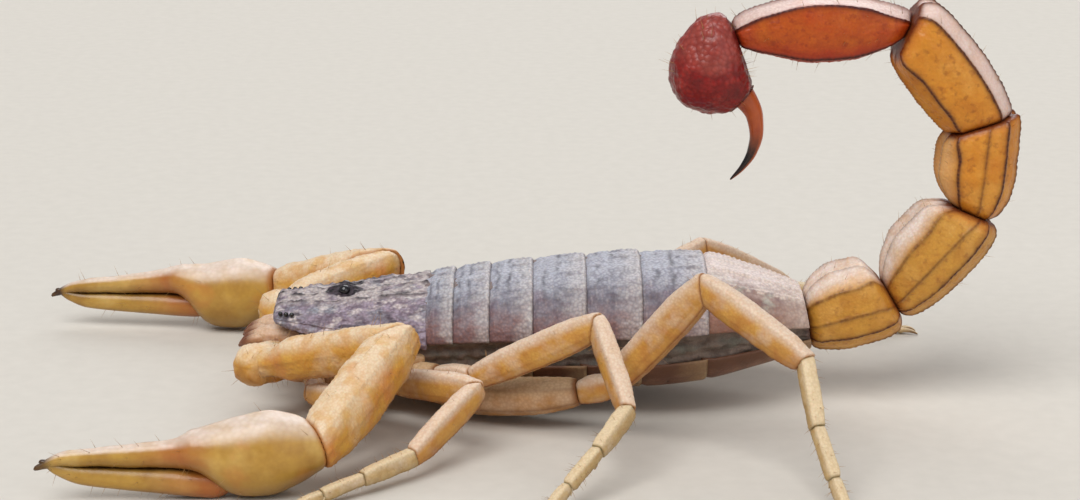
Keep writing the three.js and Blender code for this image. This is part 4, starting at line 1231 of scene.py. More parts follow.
@dataclass
class Head:
    """The head shield with its eye mound, the eyes at its middle and its sides, and the jaws.

    The cuts are (place along X, half width, height of the top, height of the underside), and those of a claw
    of a jaw are (place along X, how far it stands off the jaw's middle, height, radius).
    """

    cuts: tuple[Row, ...] = (
        (-15.55, 2.35, 5.9, 5.3), (-15.2, 2.75, 6.2, 5.15), (-13.6, 3.25, 6.45, 4.85),
        (-11.6, 3.75, 6.6, 4.5), (-9.4, 4.2, 6.95, 4.3), (-7.4, 4.55, 7.2, 4.3), (-6.5, 4.55, 7.25, 4.3),
    )
    outline: Outline = Outline(
        [(0, 0.92), (0.1, 0.96), (0.17, 0.97), (0.26, 0.92), (0.4, 0.86), (0.48, 0.82), (0.58, 0.7),
         (0.8, 0.3), (0.95, -0.3), (1, -0.75), (0.97, -1), (0.5, -1), (0, -1)],
        {2: (0.1, 0.09, 0.85), 5: (0.09, 0.09, 0.7), 8: (0.06, 0.1, 0.5)},
    )
    mound: Vector = field(default_factory=lambda: Vector((-11.5, 0, 6.25)))
    mound_size: Row = (1.5, 0.7, 0.75)
    eye_radius: float = 0.34
    eye_seat: Row = (-11.5, 0.52, 6.67)
    side_eye: Row = (-14.75, 2.68, 5.85)
    side_eye_spacing: float = 0.34
    side_eye_radius: float = 0.14
    step: float = 0.1
    jaw_root: Row = (-13.6, 1.1, 3.95)
    jaw_knuckle: Row = (-16.5, 1.1, 3.95)
    jaw_barrel: Size = Size(1.85, 1.6, ((0, 0.85, 0.85), (0.35, 1, 1), (0.8, 0.95, 0.95), (1, 0.75, 0.8)))
    jaw_outline: Outline = oval((0.6, 0.9), (0.95, 0.5))
    jaw_claw: tuple[Row, ...] = (
        (-16.0, 0.32, 4.05, 0.42), (-16.63, 0.47, 4.0, 0.37), (-17.19, 0.44, 3.85, 0.27),
        (-17.68, 0.2, 3.55, 0.1),
    )

    def shield_place(self) -> Place:
        """The function that places the head shield, with the mound and the rims of the eyes raised on it."""
        # Its upper colour is a painted highlight, broken into patches.
        surface = Surface(grain=0.1, grain_size=0.34, bead=0.3, lump=0.16, wear_and_highlight_breakup=0.9, top=above(0.75, 0.2))
        body = Body(upright(self.cuts, 0.12, 0.14), self.outline, surface=surface)
        self.shield_grid = (round(body.length / self.step),
                            round(2 * self.outline.girth * body.size / self.step))
        base = body.place()
        eyes = [side.point(self.eye_seat) for side in Side]
        length, width, height = self.mound_size

        def point(share: float, around: float) -> tuple[Vector, Masks]:
            """A place on the shield and its masks.

            Args:
                share: How far along the shield, as a share of its length.
                around: How far round it, as a share of the whole way round.

            Returns:
                The place, and the masks in the order of `Mask`.
            """
            place, (keel, rim, top, tip) = base(share, around)
            egg = 1 - ((place.x - self.mound.x) / length) ** 2 - (place.y / width) ** 2
            if place.z > self.mound.z - 0.3 and egg > 0:
                raised = self.mound.z + height * math.sqrt(egg) - 0.14 * bell(place.y, 0.14)
                place.z = (place.z + raised + math.sqrt((place.z - raised) ** 2 + 0.01)) / 2
            for eye in eyes:
                off = place - eye
                away = off.length
                place.z += 0.06 * bell(away - 0.43, 0.09)
                stain = math.hypot(off.x / 1.9, off.y, off.z) + 0.15 * noise.noise(place / 0.4)
                keel = max(keel, 2 * (1 - ease(0.4, 0.66, stain)))
            streak = bell(abs(place.y) - 1.9, 0.22) * ease(-11.5, -10.0, place.x)
            streak *= 1 - ease(-7.4, -6.8, place.x)
            keel = max(keel, 0.9 * streak * ease(-0.15, 0.2, noise.noise(place / 0.7)))
            return place, (keel, rim, top, tip)

        return point

    def build(self, bench: Bench) -> None:
        """Adds the shield, the eyes and the jaws.

        Args:
            bench: Where they go.
        """
        mesh = blank()
        place = self.shield_place()
        wrap(mesh, place, *self.shield_grid)
        bench.add(mesh, "head_shield", "shield", ["carapace"])
        for side in Side:
            mesh = blank()
            self.ball(mesh, side.point(self.eye_seat), self.eye_radius)
            bench.add(mesh, f"middle_eye_{side.label}", "eye", [f"eye_median_{side.label}"])
            mesh = blank()
            for step in (-1, 0, 1):
                x, y, z = self.side_eye
                middle = side.point((x + step * self.side_eye_spacing, y + 0.1 * step, z))
                self.ball(mesh, middle, self.side_eye_radius)
            bench.add(mesh, f"side_eyes_{side.label}", "eye")
            self.jaw(bench, side)

    @staticmethod
    def ball(mesh: bmesh.types.BMesh, middle: Vector, radius: float) -> None:
        """Adds the round lens of an eye."""
        bmesh.ops.create_icosphere(mesh, subdivisions=4, radius=radius, matrix=Matrix.Translation(middle))

    def jaw(self, bench: Bench, side: Side) -> None:
        """Adds a jaw: a short barrel, its fixed and its moving claw, and their teeth.

        Args:
            bench: Where it goes.
            side: Its side of the animal.
        """
        mesh = blank()
        limb(side.point(self.jaw_root), side.point(self.jaw_knuckle), self.jaw_barrel, self.jaw_outline,
             surface=Surface(grain=0.02, top=above(0.5, 0.3)), ends=0.5).wrap(mesh, 0.08)
        claw = Surface(dark=lambda share: ease(0.35, 0.8, share))
        for which in (-1, 1):
            points = [side.point((x, self.jaw_root[1] + which * out, z)) for x, out, z, _ in self.jaw_claw]
            horn(points, [row[3] for row in self.jaw_claw], surface=claw).wrap(mesh, 0.07)
            for i in range(3):
                foot = points[1].lerp(points[2], 0.2 + 0.45 * i)
                tip = foot + Vector((-0.12, -which * side.value * 0.4, -0.12))
                horn([foot, tip], [0.13, 0.04], surface=Surface(dark=always)).wrap(mesh, 0.05)
        bench.add(mesh, f"jaw_{side.label}", "jaw", [f"chelicera_{side.label}"])


@dataclass
class Breast:
    """The breast: its floor, the hip pieces of all limbs, the three-cornered breastbone and the lid.

    The floor's cuts are (place along X, half width, height of the top, height of the underside). The bone and
    the lid are pairs of lobes, each (middle along X, length, width, height above the floor).
    """

    core: tuple[Row, ...] = (
        (-14.0, 2.0, 3.2, 2.0), (-13.2, 2.6, 3.3, 1.6), (-12.6, 2.9, 4.2, 1.45), (-9.4, 3.9, 4.2, 1.3),
        (-6.7, 4.2, 4.2, 1.35),
    )
    outline: Outline = oval((0.75, 0.95), (0.98, 0.6))
    lobes: tuple[Row, ...] = ((-8.9, 1.9, 1.1, 1.35), (-6.2, 1.3, 1.3, 1.1))
    lobe_radii: Row = (0.12, 0.3, 0.42)

    def build(self, bench: Bench, arms: Sequence["Arm"], legs: Sequence["Leg"]) -> None:
        """Adds the breast.

        Args:
            bench: Where it goes.
            arms: The pincer arms that it carries.
            legs: The legs that it carries.
        """
        mesh = blank()
        Body(upright(self.core, 0.4, 0.3), self.outline, surface=Surface(grain=0.03)).wrap(mesh, 0.14)
        for arm in arms:
            ARM_HIP.body(arm.side, arm.side.point(arm.seat)).wrap(mesh, 0.1)
        for leg in legs:
            leg.hip.body(leg.side, leg.side.point(leg.seat)).wrap(mesh, 0.1)
        for x, length, width, z in self.lobes:
            for side in Side:
                points = [side.point((x + length * (share - 0.5), 0.5 * width * (0.35 + 0.3 * share), z))
                          for share in (0, 0.5, 1)]
                horn(points, self.lobe_radii, flat=1.5, surface=Surface(grain=0.02)).wrap(mesh, 0.08)
        bench.add(mesh, "breast_and_hips", "breast", ["coxosternum"])


@dataclass(frozen=True)
class Ring:
    """A ring of the tail.

    Its length, pitch from +X up and lean to the right in degrees, width and depth, the shares of those that
    its two waists have, and how far its middle bows up.
    """

    length: float
    pitch: float
    lean: float
    width: float
    depth: float
    near: float
    far: float
    bow: float

    @property
    def way(self) -> Vector:
        """The way that it goes."""
        rise, sway = math.radians(self.pitch), math.radians(self.lean)
        return Vector((math.cos(rise) * math.cos(sway), math.sin(sway), math.sin(rise) * math.cos(sway)))

    @property
    def up(self) -> Vector:
        """The way that its back faces, in the plane that the tail curls in."""
        rise = math.radians(self.pitch + 90)
        return Vector((math.cos(rise), 0, math.sin(rise)))

    def rows(self, start: Vector, fill: Sequence[Row]) -> list[tuple[Vector, float, float]]:
        """Its cuts, domed past both joints.

        Args:
            start: Its first joint.
            fill: How far it has filled out from its waists, along its length.

        Returns:
            The cuts as (middle, half width, half height).
        """
        cuts = [(-0.6 * reach, -0.5, share * self.near) for reach, share in DOME]
        for at, full in fill:
            waist = self.near if at < 0.5 else self.far
            cuts.append((at * self.length, full - 0.5, waist + (1 - waist) * full))
        cuts += [(self.length + 0.6 * reach, -0.5, share * self.far) for reach, share in reversed(DOME)]
        return [(start + self.way * along + self.up * (self.bow * lift), share * self.width / 2,
                 share * self.depth / 2) for along, lift, share in cuts]


@dataclass(frozen=True)
class Swelling:
    """Where the bulb swells towards what it meets: its turn from -X down, its height and its spread."""

    turn: float
    height: float
    spread: float = 24.0

    def at(self, way: Vector) -> float:
        """How high it stands in a direction from the bulb's middle."""
        angle = math.radians(self.turn)
        off = math.degrees(way.angle(Vector((-math.cos(angle), 0, -math.sin(angle)))))
        return self.height * bell(off, self.spread)


@dataclass
class Tail:
    """The tail's five rings, the bulb and the sting. The sting's cuts are (back along X, down, radius).

    `lit` says for each ring above which height its back is painted pale and below which its underside is, a
    painted highlight on the face that the light falls on, in shares of its half height. `pinches` says how
    far the underside is drawn in at a joint, and `pinch_reach` how far from it that reaches, in mm.
    """

    root: Row = (15.7, 0, 4.9)
    trunk_way: Row = (1, 0, 0.1)
    bulb_way: Row = (-0.75, 0, -0.65)
    rings: tuple[Ring, ...] = (
        Ring(5.15, 14.5, 1, 4.9, 5.0, 0.62, 0.65, 0.3), Ring(6.8, 47.5, 2, 4.75, 4.9, 0.6, 0.77, 0.3),
        Ring(5.4, 85.5, 3, 4.6, 4.6, 0.64, 1.0, 0.1), Ring(7.3, 129, -2, 4.5, 4.7, 0.84, 0.76, -0.25),
        Ring(10.0, 181, -2, 4.1, 4.0, 0.52, 0.5, 0.2),
    )
    bulb: Row = (-1.33, 0, -2.47)
    bulb_size: Row = (2.36, 2.1)
    swellings: tuple[Swelling, ...] = (Swelling(-100, 1.15, 38.0), Swelling(141, 1.0))
    sting: tuple[Row, ...] = (
        (0.1, 3.5, 0.95), (0.85, 4.15, 0.66), (1.32, 5.05, 0.5), (1.45, 6.1, 0.4), (1.22, 7.15, 0.3),
        (0.7, 8.05, 0.18), (0.0, 8.8, 0.05),
    )
    sting_root: Row = (0.6, 0, -3.95)
    sting_way: Row = (0.75, 0, -0.66)
    keeled: tuple[Row, ...] = (
        (0, 0.8), (0.3, 0.86), (0.42, 0.95), (0.54, 0.88), (0.8, 0.7), (0.92, 0.57), (0.95, 0.4),
        (0.96, 0.04), (0.96, -0.07), (0.94, -0.18), (0.9, -0.44), (0.85, -0.58), (0.7, -0.74), (0.46, -0.9),
        (0.34, -0.95), (0.22, -0.9), (0, -0.88),
    )
    last_outline: Outline = Outline(
        [(0, 0.82), (0.36, 0.84), (0.72, 0.82), (0.86, 0.7), (0.96, 0.3), (0.99, 0.0), (0.95, -0.4),
         (0.86, -0.66), (0.68, -0.74), (0.36, -0.86), (0.12, -0.93), (0, -0.96)],
        {3: (0.1, 0.11, 1.0), 7: (0.13, 0.1, 1.0), 11: (0.14, 0.12, 0.7)},
    )
    fill: tuple[Row, ...] = ((0, 0), (0.17, 0.58), (0.45, 1.0), (0.7, 1.02), (0.88, 0.86), (1, 0.08))
    last_fill: tuple[Row, ...] = (
        (0, 0), (0.12, 0.5), (0.32, 0.93), (0.55, 1), (0.77, 0.7), (0.93, 0.22), (1, 0),
    )
    lit: tuple[Row, ...] = ((0.62, 2.0), (0.62, 2.0), (0.6, 2.0), (2.0, 0.6), (0.9, 0.7))
    finishes: tuple[str, ...] = ("tail_pale", "tail_pale", "tail", "tail_painted_belly_highlight", "tail_end")
    pinches: dict[int, float] = field(default_factory=lambda: {1: 0.3, 2: 0.55})
    pinch_reach: float = 2.0

    def joints(self) -> list[Joint]:
        """The joints in order, from the trunk's to the bulb's."""
        ways = [Vector(self.trunk_way), *(ring.way for ring in self.rings), Vector(self.bulb_way)]
        points = [Vector(self.root)]
        for ring in self.rings:
            points.append(points[-1] + ring.way * ring.length)
        return [Joint.between(point, before, after) for point, before, after in zip(points, ways, ways[1:])]

    def outline(self, number: int) -> Outline:
        """The outline of a ring, with fewer keels on the fourth and the last.

        Args:
            number: The ring's number, counted from 0.

        Returns:
            The outline.
        """
        if number == len(self.rings) - 1:
            return self.last_outline
        keels = {2: (0.13, 0.11, 0.45), 5: (0.12, 0.1, 0.6 if number < 2 else 1.0), 8: (0.1, 0.09, 0.6),
                 11: (0.12, 0.1, 1.0), 14: (0.14, 0.11, 1.0)}
        if number == len(self.rings) - 2:
            del keels[8]
        return Outline(self.keeled, keels)

    def ring_body(self, number: int) -> Body:
        """A ring between its joints.

        Args:
            number: Its number, counted from 0.

        Returns:
            The ring.
        """
        joints, ring = self.joints(), self.rings[number]
        last = number == len(self.rings) - 1
        # The upper colour, a painted highlight, goes on the back and on the underside as `lit` says.
        high, low = self.lit[number]
        red, deep, fades = (0.7, 0.2, 0.75) if last else (0.8, 0.18, 0.8)
        surface = Surface(
            bead=0.3, grain=0.03, grain_size=0.28, lump=0.05, wear_and_highlight_breakup=0.25 if number < 2 else 0.1,
            rim_round=0.75, rim_depth=0.36, rim_width=0.16,
            top=lambda edge: ease(high - 0.1, high + 0.3, edge.z) + ease(low - 0.04, low + 0.06, -edge.z),
            tip=lambda share: red * ease(fades, 1.0, share) + red * (1 - ease(0.0, deep, share)),
            shift=self.last_shift if last else self.shift,
            flush=(lambda edge: 0.85 * ease(0.15, 0.75, edge.z)) if last else below(1.0, 0.0),
        )
        near, far = joints[number], joints[number + 1]
        rows = ring.rows(near.point, self.last_fill if last else self.fill)
        made = Body(rows, self.outline(number), ring.up, [near, far.reversed()], surface)

        def fan(middle: Vector) -> Vector:
            """The way that a cut faces: square to each joint at its end, and turning evenly between them."""
            share = min(max((middle - near.point).dot(ring.way) / ring.length, 0.0), 1.0)
            return near.inward.lerp(far.inward, share)

        made.heading = fan
        made.warp = lambda place: self.pinched(place, joints, ring.up)
        return made

    def pinched(self, place: Vector, joints: Sequence[Joint], back: Vector) -> Vector:
        """A place of a ring, drawn in where it nears the underside of a narrow joint.

        Args:
            place: The place.
            joints: The tail's joints.
            back: The way that the ring's back faces.

        Returns:
            The place that it moves to.
        """
        for number, depth in self.pinches.items():
            off = place - joints[number].point
            near = max(0.0, 1 - abs(off.dot(joints[number].inward)) / self.pinch_reach)
            place = place + back * (depth * near * near * ease(0.4, 1.8, -off.dot(back)))
        return place

    @staticmethod
    def shift(share: float, height: float) -> float:
        """How the keel beside a ring's back rises towards its joints."""
        return (0.12 * (1 - ease(0.0, 0.3, share)) + 0.26 * ease(0.6, 1.0, share)) * bell(height - 0.57, 0.3)

    @staticmethod
    def last_shift(share: float, height: float) -> float:
        """How the keels under the last ring close in on its sides towards its joints, as round a lens."""
        off = (2 * share - 1) ** 2
        return 0.6 * off * bell(height + 0.66, 0.35) - 0.16 * (1 - off) * bell(height + 0.66, 0.2)

    def bulb_body(self) -> Body:
        """The bulb: a ball that swells towards the last ring and towards the sting."""
        joint = self.joints()[-1]
        middle = joint.point + Vector(self.bulb)
        radius, across = self.bulb_size
        rows = [(middle - ACROSS * (across * math.cos(turn)), *[radius * math.sin(turn)] * 2)
                for turn in HALF_TURN]
        # A painted highlight on the bulb's top, at half strength.
        surface = Surface(grain=0.06, grain_size=0.5, lump=0.1, lump_size=1.1, rim_round=0.4, rim_depth=0.2,
                          top=lambda edge: ease(0.1, 0.9, edge.z) * 0.5)
        body = Body(rows, ROUND, UP, [joint, self.foot().reversed()], surface)
        body.heading = lambda middle: ACROSS

        def swell(place: Vector) -> Vector:
            """A place of the ball, moved out where it swells."""
            spoke = place - middle
            return middle + spoke * (1 + sum(swelling.at(spoke) for swelling in self.swellings) / radius)

        body.warp = swell
        return body

    def foot(self) -> Joint:
        """The plane where the sting grows from the bulb."""
        return Joint(self.joints()[-1].point + Vector(self.sting_root), Vector(self.sting_way).normalized())

    def sting_body(self) -> Body:
        """The sting, bent to its needle point."""
        origin = self.joints()[-1].point
        points = [origin + Vector((back, 0, -down)) for back, down, _ in self.sting]
        surface = Surface(rim_round=0.1, rim_depth=0.02, rim_width=0.01,
                          tip=lambda share: ease(0.48, 0.72, share))
        return horn(points, [radius for *_, radius in self.sting], ROUND, Vector((1, 0, 0)), [self.foot()],
                    surface)

    def build(self, bench: Bench) -> None:
        """Adds the rings, the bulb and the sting.

        Args:
            bench: Where they go.
        """
        for number, finish in enumerate(self.finishes):
            slot = "tail_end" if number == len(self.rings) - 1 else "tail"
            bench.wrap([self.ring_body(number)], 0.085, f"tail_ring_{number + 1}", slot,
                       [f"metasoma_{number + 1}"], finish)
        bench.wrap([self.bulb_body()], 0.08, "sting_bulb", "bulb", ["vesicle"])
        bench.wrap([self.sting_body()], 0.08, "sting_point", "sting", ["aculeus"])


@dataclass
class Leg:
    """A walking leg.

    Its joints, given for the right side, are the end of the thigh ring, the knee, the ankle and the toe; the
    shin bows by `bow`. A claw's points are (ahead of the toe, off its middle, up).
    """

    side: Side
    number: int
    seat: Row
    knee: Row
    ankle: Row
    toe: Row
    bow: Row

    scales = (0.8, 0.92, 1.0, 1.08)
    trochanter = Size(1.25, 1.5, ((0, 0.85, 0.8), (0.5, 1, 1), (1, 0.95, 0.85)))
    femur = Size(1.2, 1.9, ((0, 0.85, 0.72), (0.3, 1, 0.98), (0.7, 1, 1.05), (1, 0.85, 0.8)))
    patella = Size(1.2, 1.75, ((0, 0.85, 0.8), (0.3, 1, 1), (0.75, 0.95, 0.95), (1, 0.75, 0.66)))
    tibia = Size(0.95, 1.12, ((0, 0.9, 0.95), (0.3, 1, 1), (0.85, 0.9, 0.9), (1, 0.8, 0.75)))
    basitarsus = Size(0.75, 0.8, ((0, 0.9, 0.9), (0.9, 0.95, 0.95), (1, 0.75, 0.75)))
    tarsus = Size(0.62, 0.66, ((0, 0.85, 0.85), (0.4, 1, 1), (1, 0.7, 0.7)))
    outline = Outline(
        [(0, 0.98), (0.42, 0.95), (0.68, 0.8), (0.86, 0.42), (0.97, 0.0), (0.94, -0.42), (0.72, -0.84),
         (0.34, -0.97), (0, -0.98)],
        {2: (0.05, 0.09, 0.0), 5: (0.03, 0.08, 0.25), 6: (0.06, 0.1, 0.7)},
    )

    thigh = ("trochanter", "femur", "patella")
    shin = ("tibia", "basitarsus", "tarsus")
    claw = ((-0.2, 0.08, 0), (0.55, 0.4, 0.12), (1, 0.34, -0.22))
    claw_length = 0.95
    claw_radii = (0.15, 0.14, 0.12, 0.09, 0.04)

    @property
    def hip(self) -> Hip:
        """The hip piece that it grows from."""
        return LEG_HIPS[self.number - 1]

    @property
    def scale(self) -> float:
        """Its size, as a share of the third leg's."""
        return self.scales[self.number - 1]

    def points(self) -> dict[str, Vector]:
        """Its joints by name, on its own side."""
        seat, knee, ankle, toe, bow = (self.side.point(place) for place in
                                       (self.seat, self.knee, self.ankle, self.toe, self.bow))
        return {
            "start": self.side.point(self.hip.end), "seat": seat, "knee": knee, "ankle": ankle,
            "shin_end": ankle.lerp(toe, 0.45) + bow, "tarsus": ankle.lerp(toe, 0.78) + bow * 0.6, "toe": toe,
        }

    def chain(self) -> list[Joint]:
        """Its joints in order, from the hip to the tarsus, each facing down the leg."""
        points = list(self.points().values())
        return [self.hip.joint(self.side, points[1]), *bends(points)]

    def lengths(self) -> dict[str, Body]:
        """Its lengths by name, each between its joints."""
        ends, chain = list(self.points().values()), self.chain()
        made = {}
        for i, name in enumerate(self.thigh + self.shin):
            joints = [chain[i], *(joint.reversed() for joint in chain[i + 1:i + 2])]
            thin = name in self.shin
            # A painted highlight on top, and painted shade underneath in the keel colour.
            surface = Surface(
                bead=0.3, rim_round=0.12 if thin else 0.2, rim_depth=0.04 if thin else 0.08, rim_width=0.06,
                top=above(0.5, 0.3), grain=0.02, grain_size=0.26, lump=0.05, lump_size=0.8,
                tip=(lambda share: 0.6 * ease(0.6, 1.0, share)) if name == "patella" else never,
                under=below(0.4, 0.5),
            )
            size = getattr(self, name).scaled(self.scale)
            made[name] = limb(ends[i], ends[i + 1], size, self.outline, joints, surface)
        return made

    def claws(self) -> list[Body]:
        """The two claws of the foot, spread and bent down to the floor."""
        p = self.points()
        way = p["toe"] - p["tarsus"]
        way.z = 0
        way.normalize()
        across = UP.cross(way)
        made = []
        for which in (-1, 1):
            start, middle, end = (
                p["toe"] + way * (ahead * self.claw_length * self.scale)
                + across * (which * out * self.scale) + UP * rise for ahead, out, rise in self.claw
            )
            radii = [radius * self.scale for radius in self.claw_radii]
            made.append(horn(bend(start, middle, end, len(radii)), radii,
                             surface=Surface(tip=lambda share: ease(0.2, 0.8, share))))
        return made

    def spurs(self) -> list[Body]:
        """The spur under the end of the shin, and the smaller pair at the foot's last joint."""
        p = self.points()
        made = []
        spots = [(p["shin_end"], p["ankle"], 0.75)] if self.number > 2 else []
        for end, start, length in [*spots, (p["tarsus"], p["shin_end"], 0.4)]:
            way = (end - start).normalized()
            down = -(way.cross(UP)).cross(way).normalized()
            across = way.cross(down)
            alone = length > 0.5
            for which in ((0,) if alone else (-1, 1)):
                root = end - way * 0.15 + across * (0.12 * which)
                tip = root + (way + down + across * (0.3 * which)) * (length * self.scale)
                radius = (0.24 if alone else 0.13) * self.scale
                made.append(horn([root, root.lerp(tip, 0.5), tip], [radius, 0.7 * radius, 0.2 * radius],
                                 surface=Surface(tip=lambda share: ease(0.5, 1.0, share))))
        return made

    def build(self, bench: Bench) -> None:
        """Adds the leg as its thigh and its foot.

        Args:
            bench: Where it goes.
        """
        lengths = self.lengths()
        name = f"leg_{self.number}_{self.side.label}"
        bench.wrap([lengths[part] for part in self.thigh], 0.11, f"{name}_thigh", "leg",
                   [f"{name}_femur", f"{name}_patella"])
        bench.wrap([*(lengths[part] for part in self.shin), *self.claws(), *self.spurs()], 0.09,
                   f"{name}_shin_and_foot", "foot", [f"{name}_foot"])


@dataclass
class Arm:
    """A pincer arm. Its joints are given for the right side.

    `parting` is how high the fingers part at the knuckle, off the line from the wrist to the tip. The cuts of
    the palm are (mm from the wrist, half width, half height, how far its middle is raised), and those of the
    fingers are (share of the length, half width, half height).
    """

    side: Side
    seat: Row
    elbow: Row
    wrist: Row
    tip: Row
    parting: float

    trochanter = Size(2.3, 2.4, ((0, 0.8, 0.8), (0.5, 1, 1), (1, 1, 1)))
    femur = Size(2.2, 2.6, ((0, 0.6, 0.56), (0.14, 0.72, 0.66), (0.3, 0.98, 0.95), (0.75, 1, 1.02),
                            (1, 0.9, 0.9)))
    patella = Size(2.9, 3.3, ((0, 0.74, 0.76), (0.2, 0.96, 0.95), (0.55, 1.02, 1.02), (0.85, 0.95, 0.95),
                              (1, 0.78, 0.78)))
    outline = Outline(
        [(0, 0.97), (0.36, 0.93), (0.64, 0.8), (0.87, 0.46), (0.97, 0.05), (0.92, -0.4), (0.71, -0.76),
         (0.38, -0.93), (0, -0.97)],
        {2: (0.04, 0.12, 0.0), 4: (0.03, 0.09, 0.25), 6: (0.07, 0.11, 0.55)},
    )
    # The jaw line's keels are a low row of teeth, painted dark and wide as the shade of the gap between the
    # fingers.
    jaw_outline = oval((0.55, 0.84), (0.9, 0.44), keels={0: (0.05, 0.3, 1.0)})
    hand_outline = oval((0.5, 0.87), (0.87, 0.5), keels={6: (0.05, 0.3, 1.0)})
    palm = ((-0.9, 0.7, 0.75, 0), (0, 1.2, 1.35, 0), (1.2, 1.65, 1.95, -0.05), (2.6, 1.85, 2.34, -0.14),
            (4.0, 1.8, 2.2, -0.22), (5.2, 1.6, 1.82, -0.14), (6.4, 1.25, 1.45, -0.1), (7.4, 0.95, 1.1, 0),
            (8.1, 0.5, 0.6, 0.1))
    knuckle = 5.6
    fixed_root = 4.6
    fixed = ((0, 0.85, 0.94), (0.15, 0.8, 0.92), (0.35, 0.64, 0.72), (0.55, 0.52, 0.58), (0.75, 0.42, 0.46),
             (0.9, 0.28, 0.32), (1, 0.1, 0.1))
    moving = ((0, 0.85, 0.8), (0.1, 0.84, 0.78), (0.3, 0.69, 0.71), (0.55, 0.54, 0.62), (0.78, 0.42, 0.5),
              (0.92, 0.28, 0.3), (1, 0.1, 0.1))
    hook_size, hook_share = 0.3, 0.15
    point = 0.08
    jaw_gap = 0.03
    hand_cuts = 44

    def points(self) -> list[Vector]:
        """Its joints on its own side: hip, seat, elbow, wrist and tip."""
        places = (ARM_HIP.end, self.seat, self.elbow, self.wrist, self.tip)
        return [self.side.point(place) for place in places]

    def chain(self) -> list[Joint]:
        """Its joints in order, from the hip to the wrist, each facing down the arm."""
        points = self.points()
        return [ARM_HIP.joint(self.side, points[1]), *bends(points)]

    def lengths(self) -> list[Body]:
        """Its trochanter, femur and patella, each between its joints."""
        p, chain = self.points(), self.chain()
        # A painted highlight on top, and painted shade underneath in the keel colour.
        surface = Surface(grain=0.04, grain_size=0.32, lump=0.12, lump_size=1.2, wear_and_highlight_breakup=0.5, rim_round=0.35,
                          rim_width=0.12, top=above(0.55, 0.35), under=below(0.35, 0.5))
        joints = [[chain[0]], [chain[2].reversed()], [chain[2], chain[3].reversed()]]
        return [limb(p[i], p[i + 1], size, self.outline, joints[i], surface, 0.9)
                for i, size in enumerate((self.trochanter, self.femur, self.patella))]

    def jaw_line(self, at: float, reach: float) -> float:
        """How high the jaws part at a place from the wrist, in the hand's frame."""
        share = min(max((at - self.knuckle) / (reach - self.knuckle), 0.0), 1.0)
        return self.parting * (1 - share)

    def hook(self, share: float) -> float:
        """How far a finger bends over the other at a share of its length."""
        return self.hook_size * max(0.0, 1 - (1 - share) / self.hook_share)

    def frame(self) -> tuple[Vector, Vector, Vector, float]:
        """The hand's frame: the wrist, the way to the tip, its up, and how far the tip is."""
        *_, wrist, tip = self.points()
        way = (tip - wrist).normalized()
        return wrist, way, way.cross(UP.cross(way).normalized()), (tip - wrist).length

    def hand(self) -> Body:
        """The palm and the fixed finger that it narrows to, as one body."""
        wrist, way, up, reach = self.frame()
        palm, finger = (Curve([row[0] for row in rows], [row[1:] for row in rows])
                        for rows in (self.palm, self.fixed))
        rows = [(wrist - way * 1.3, 0.0, 0.0)]
        for i in range(self.hand_cuts + 1):
            at = self.palm[0][0] + (reach - self.palm[0][0]) * i / self.hand_cuts
            width, height, lift = palm(at)
            share = (at - self.fixed_root) / (reach - self.fixed_root)
            thin, half = finger(share)
            low = self.jaw_line(at, reach) + self.jaw_gap - self.hook(share)
            fade, grown = ease(6.6, 8.6, at), ease(2.6, 5.2, at)
            top = larger(lift + height - 2 * fade, low + 2 * half - 2 * (1 - grown), 0.2)
            wide = larger(width * (1 - fade), thin - (1 - grown), 0.15)
            bottom = lift - height + (low - lift + height) * ease(4.7, 6.9, at)
            rows.append((wrist + way * at + up * ((top + bottom) / 2), wide, (top - bottom) / 2))
        tip = self.jaw_line(reach, reach) + 0.1 - self.hook_size
        rows.append((wrist + way * (reach + self.point) + up * tip, 0.0, 0.0))
        start = (self.knuckle + 1.0) / reach
        # A painted highlight on top, and painted shade underneath in the keel colour.
        surface = Surface(
            bead=0.42, grain=0.012, grain_size=0.6, rim_depth=0.2, lump=0.06, lump_size=1.6, wear_and_highlight_breakup=0.2,
            keels=lambda share: ease(start - 0.05, start + 0.05, share), top=above(0.68, 0.28),
            tip=lambda share: 0.75 * ease(0.38, 0.52, share) * (1 - ease(0.52, 0.72, share)),
            under=below(0.1, 0.5),
            dark=lambda share: ease(0.91, 0.97, share),
        )
        body = Body(rows, self.hand_outline, UP, [self.chain()[-1]], surface)
        body.heading = lambda middle: way
        return body

    def finger(self) -> Body:
        """The moving finger, below the jaws' line."""
        wrist, way, up, reach = self.frame()
        end = reach - 0.3
        rows = [(wrist + way * 4.3 + up * (self.parting - 0.8), 0.0, 0.0),
                (wrist + way * 4.6 + up * (self.parting - 0.8), 0.6, 0.5)]
        for share, width, height in self.moving:
            at = self.knuckle + (end - self.knuckle) * share
            drop = self.jaw_gap + height - self.hook(share)
            rows.append((wrist + way * at + up * (self.jaw_line(at, end) - drop), width, height))
        rows.append((rows[-1][0] + way * self.point, 0.0, 0.0))
        # Painted shade underneath, in the keel colour.
        surface = Surface(
            bead=0.42, keels=lambda share: ease(0.14, 0.22, share), top=above(2.0),
            tip=lambda share: 0.85 - 0.85 * ease(0.12, 0.5, share), dark=lambda share: ease(0.9, 0.97, share),
            under=below(0.2, 0.4),
        )
        body = Body(rows, self.jaw_outline, UP, (), surface)
        body.heading = lambda middle: way
        return body

    def build(self, bench: Bench) -> None:
        """Adds the arm, the hand and the moving finger.

        Args:
            bench: Where they go.
        """
        side = self.side.label
        bench.wrap(self.lengths(), 0.1, f"arm_{side}", "arm",
                   [f"pedipalp_{side}_{part}" for part in ("trochanter", "femur", "patella")])
        bench.wrap([self.hand()], 0.09, f"hand_{side}", "hand", [f"pedipalp_{side}_hand"])
        bench.wrap([self.finger()], 0.09, f"moving_finger_{side}", "hand", [f"pedipalp_{side}_finger"])


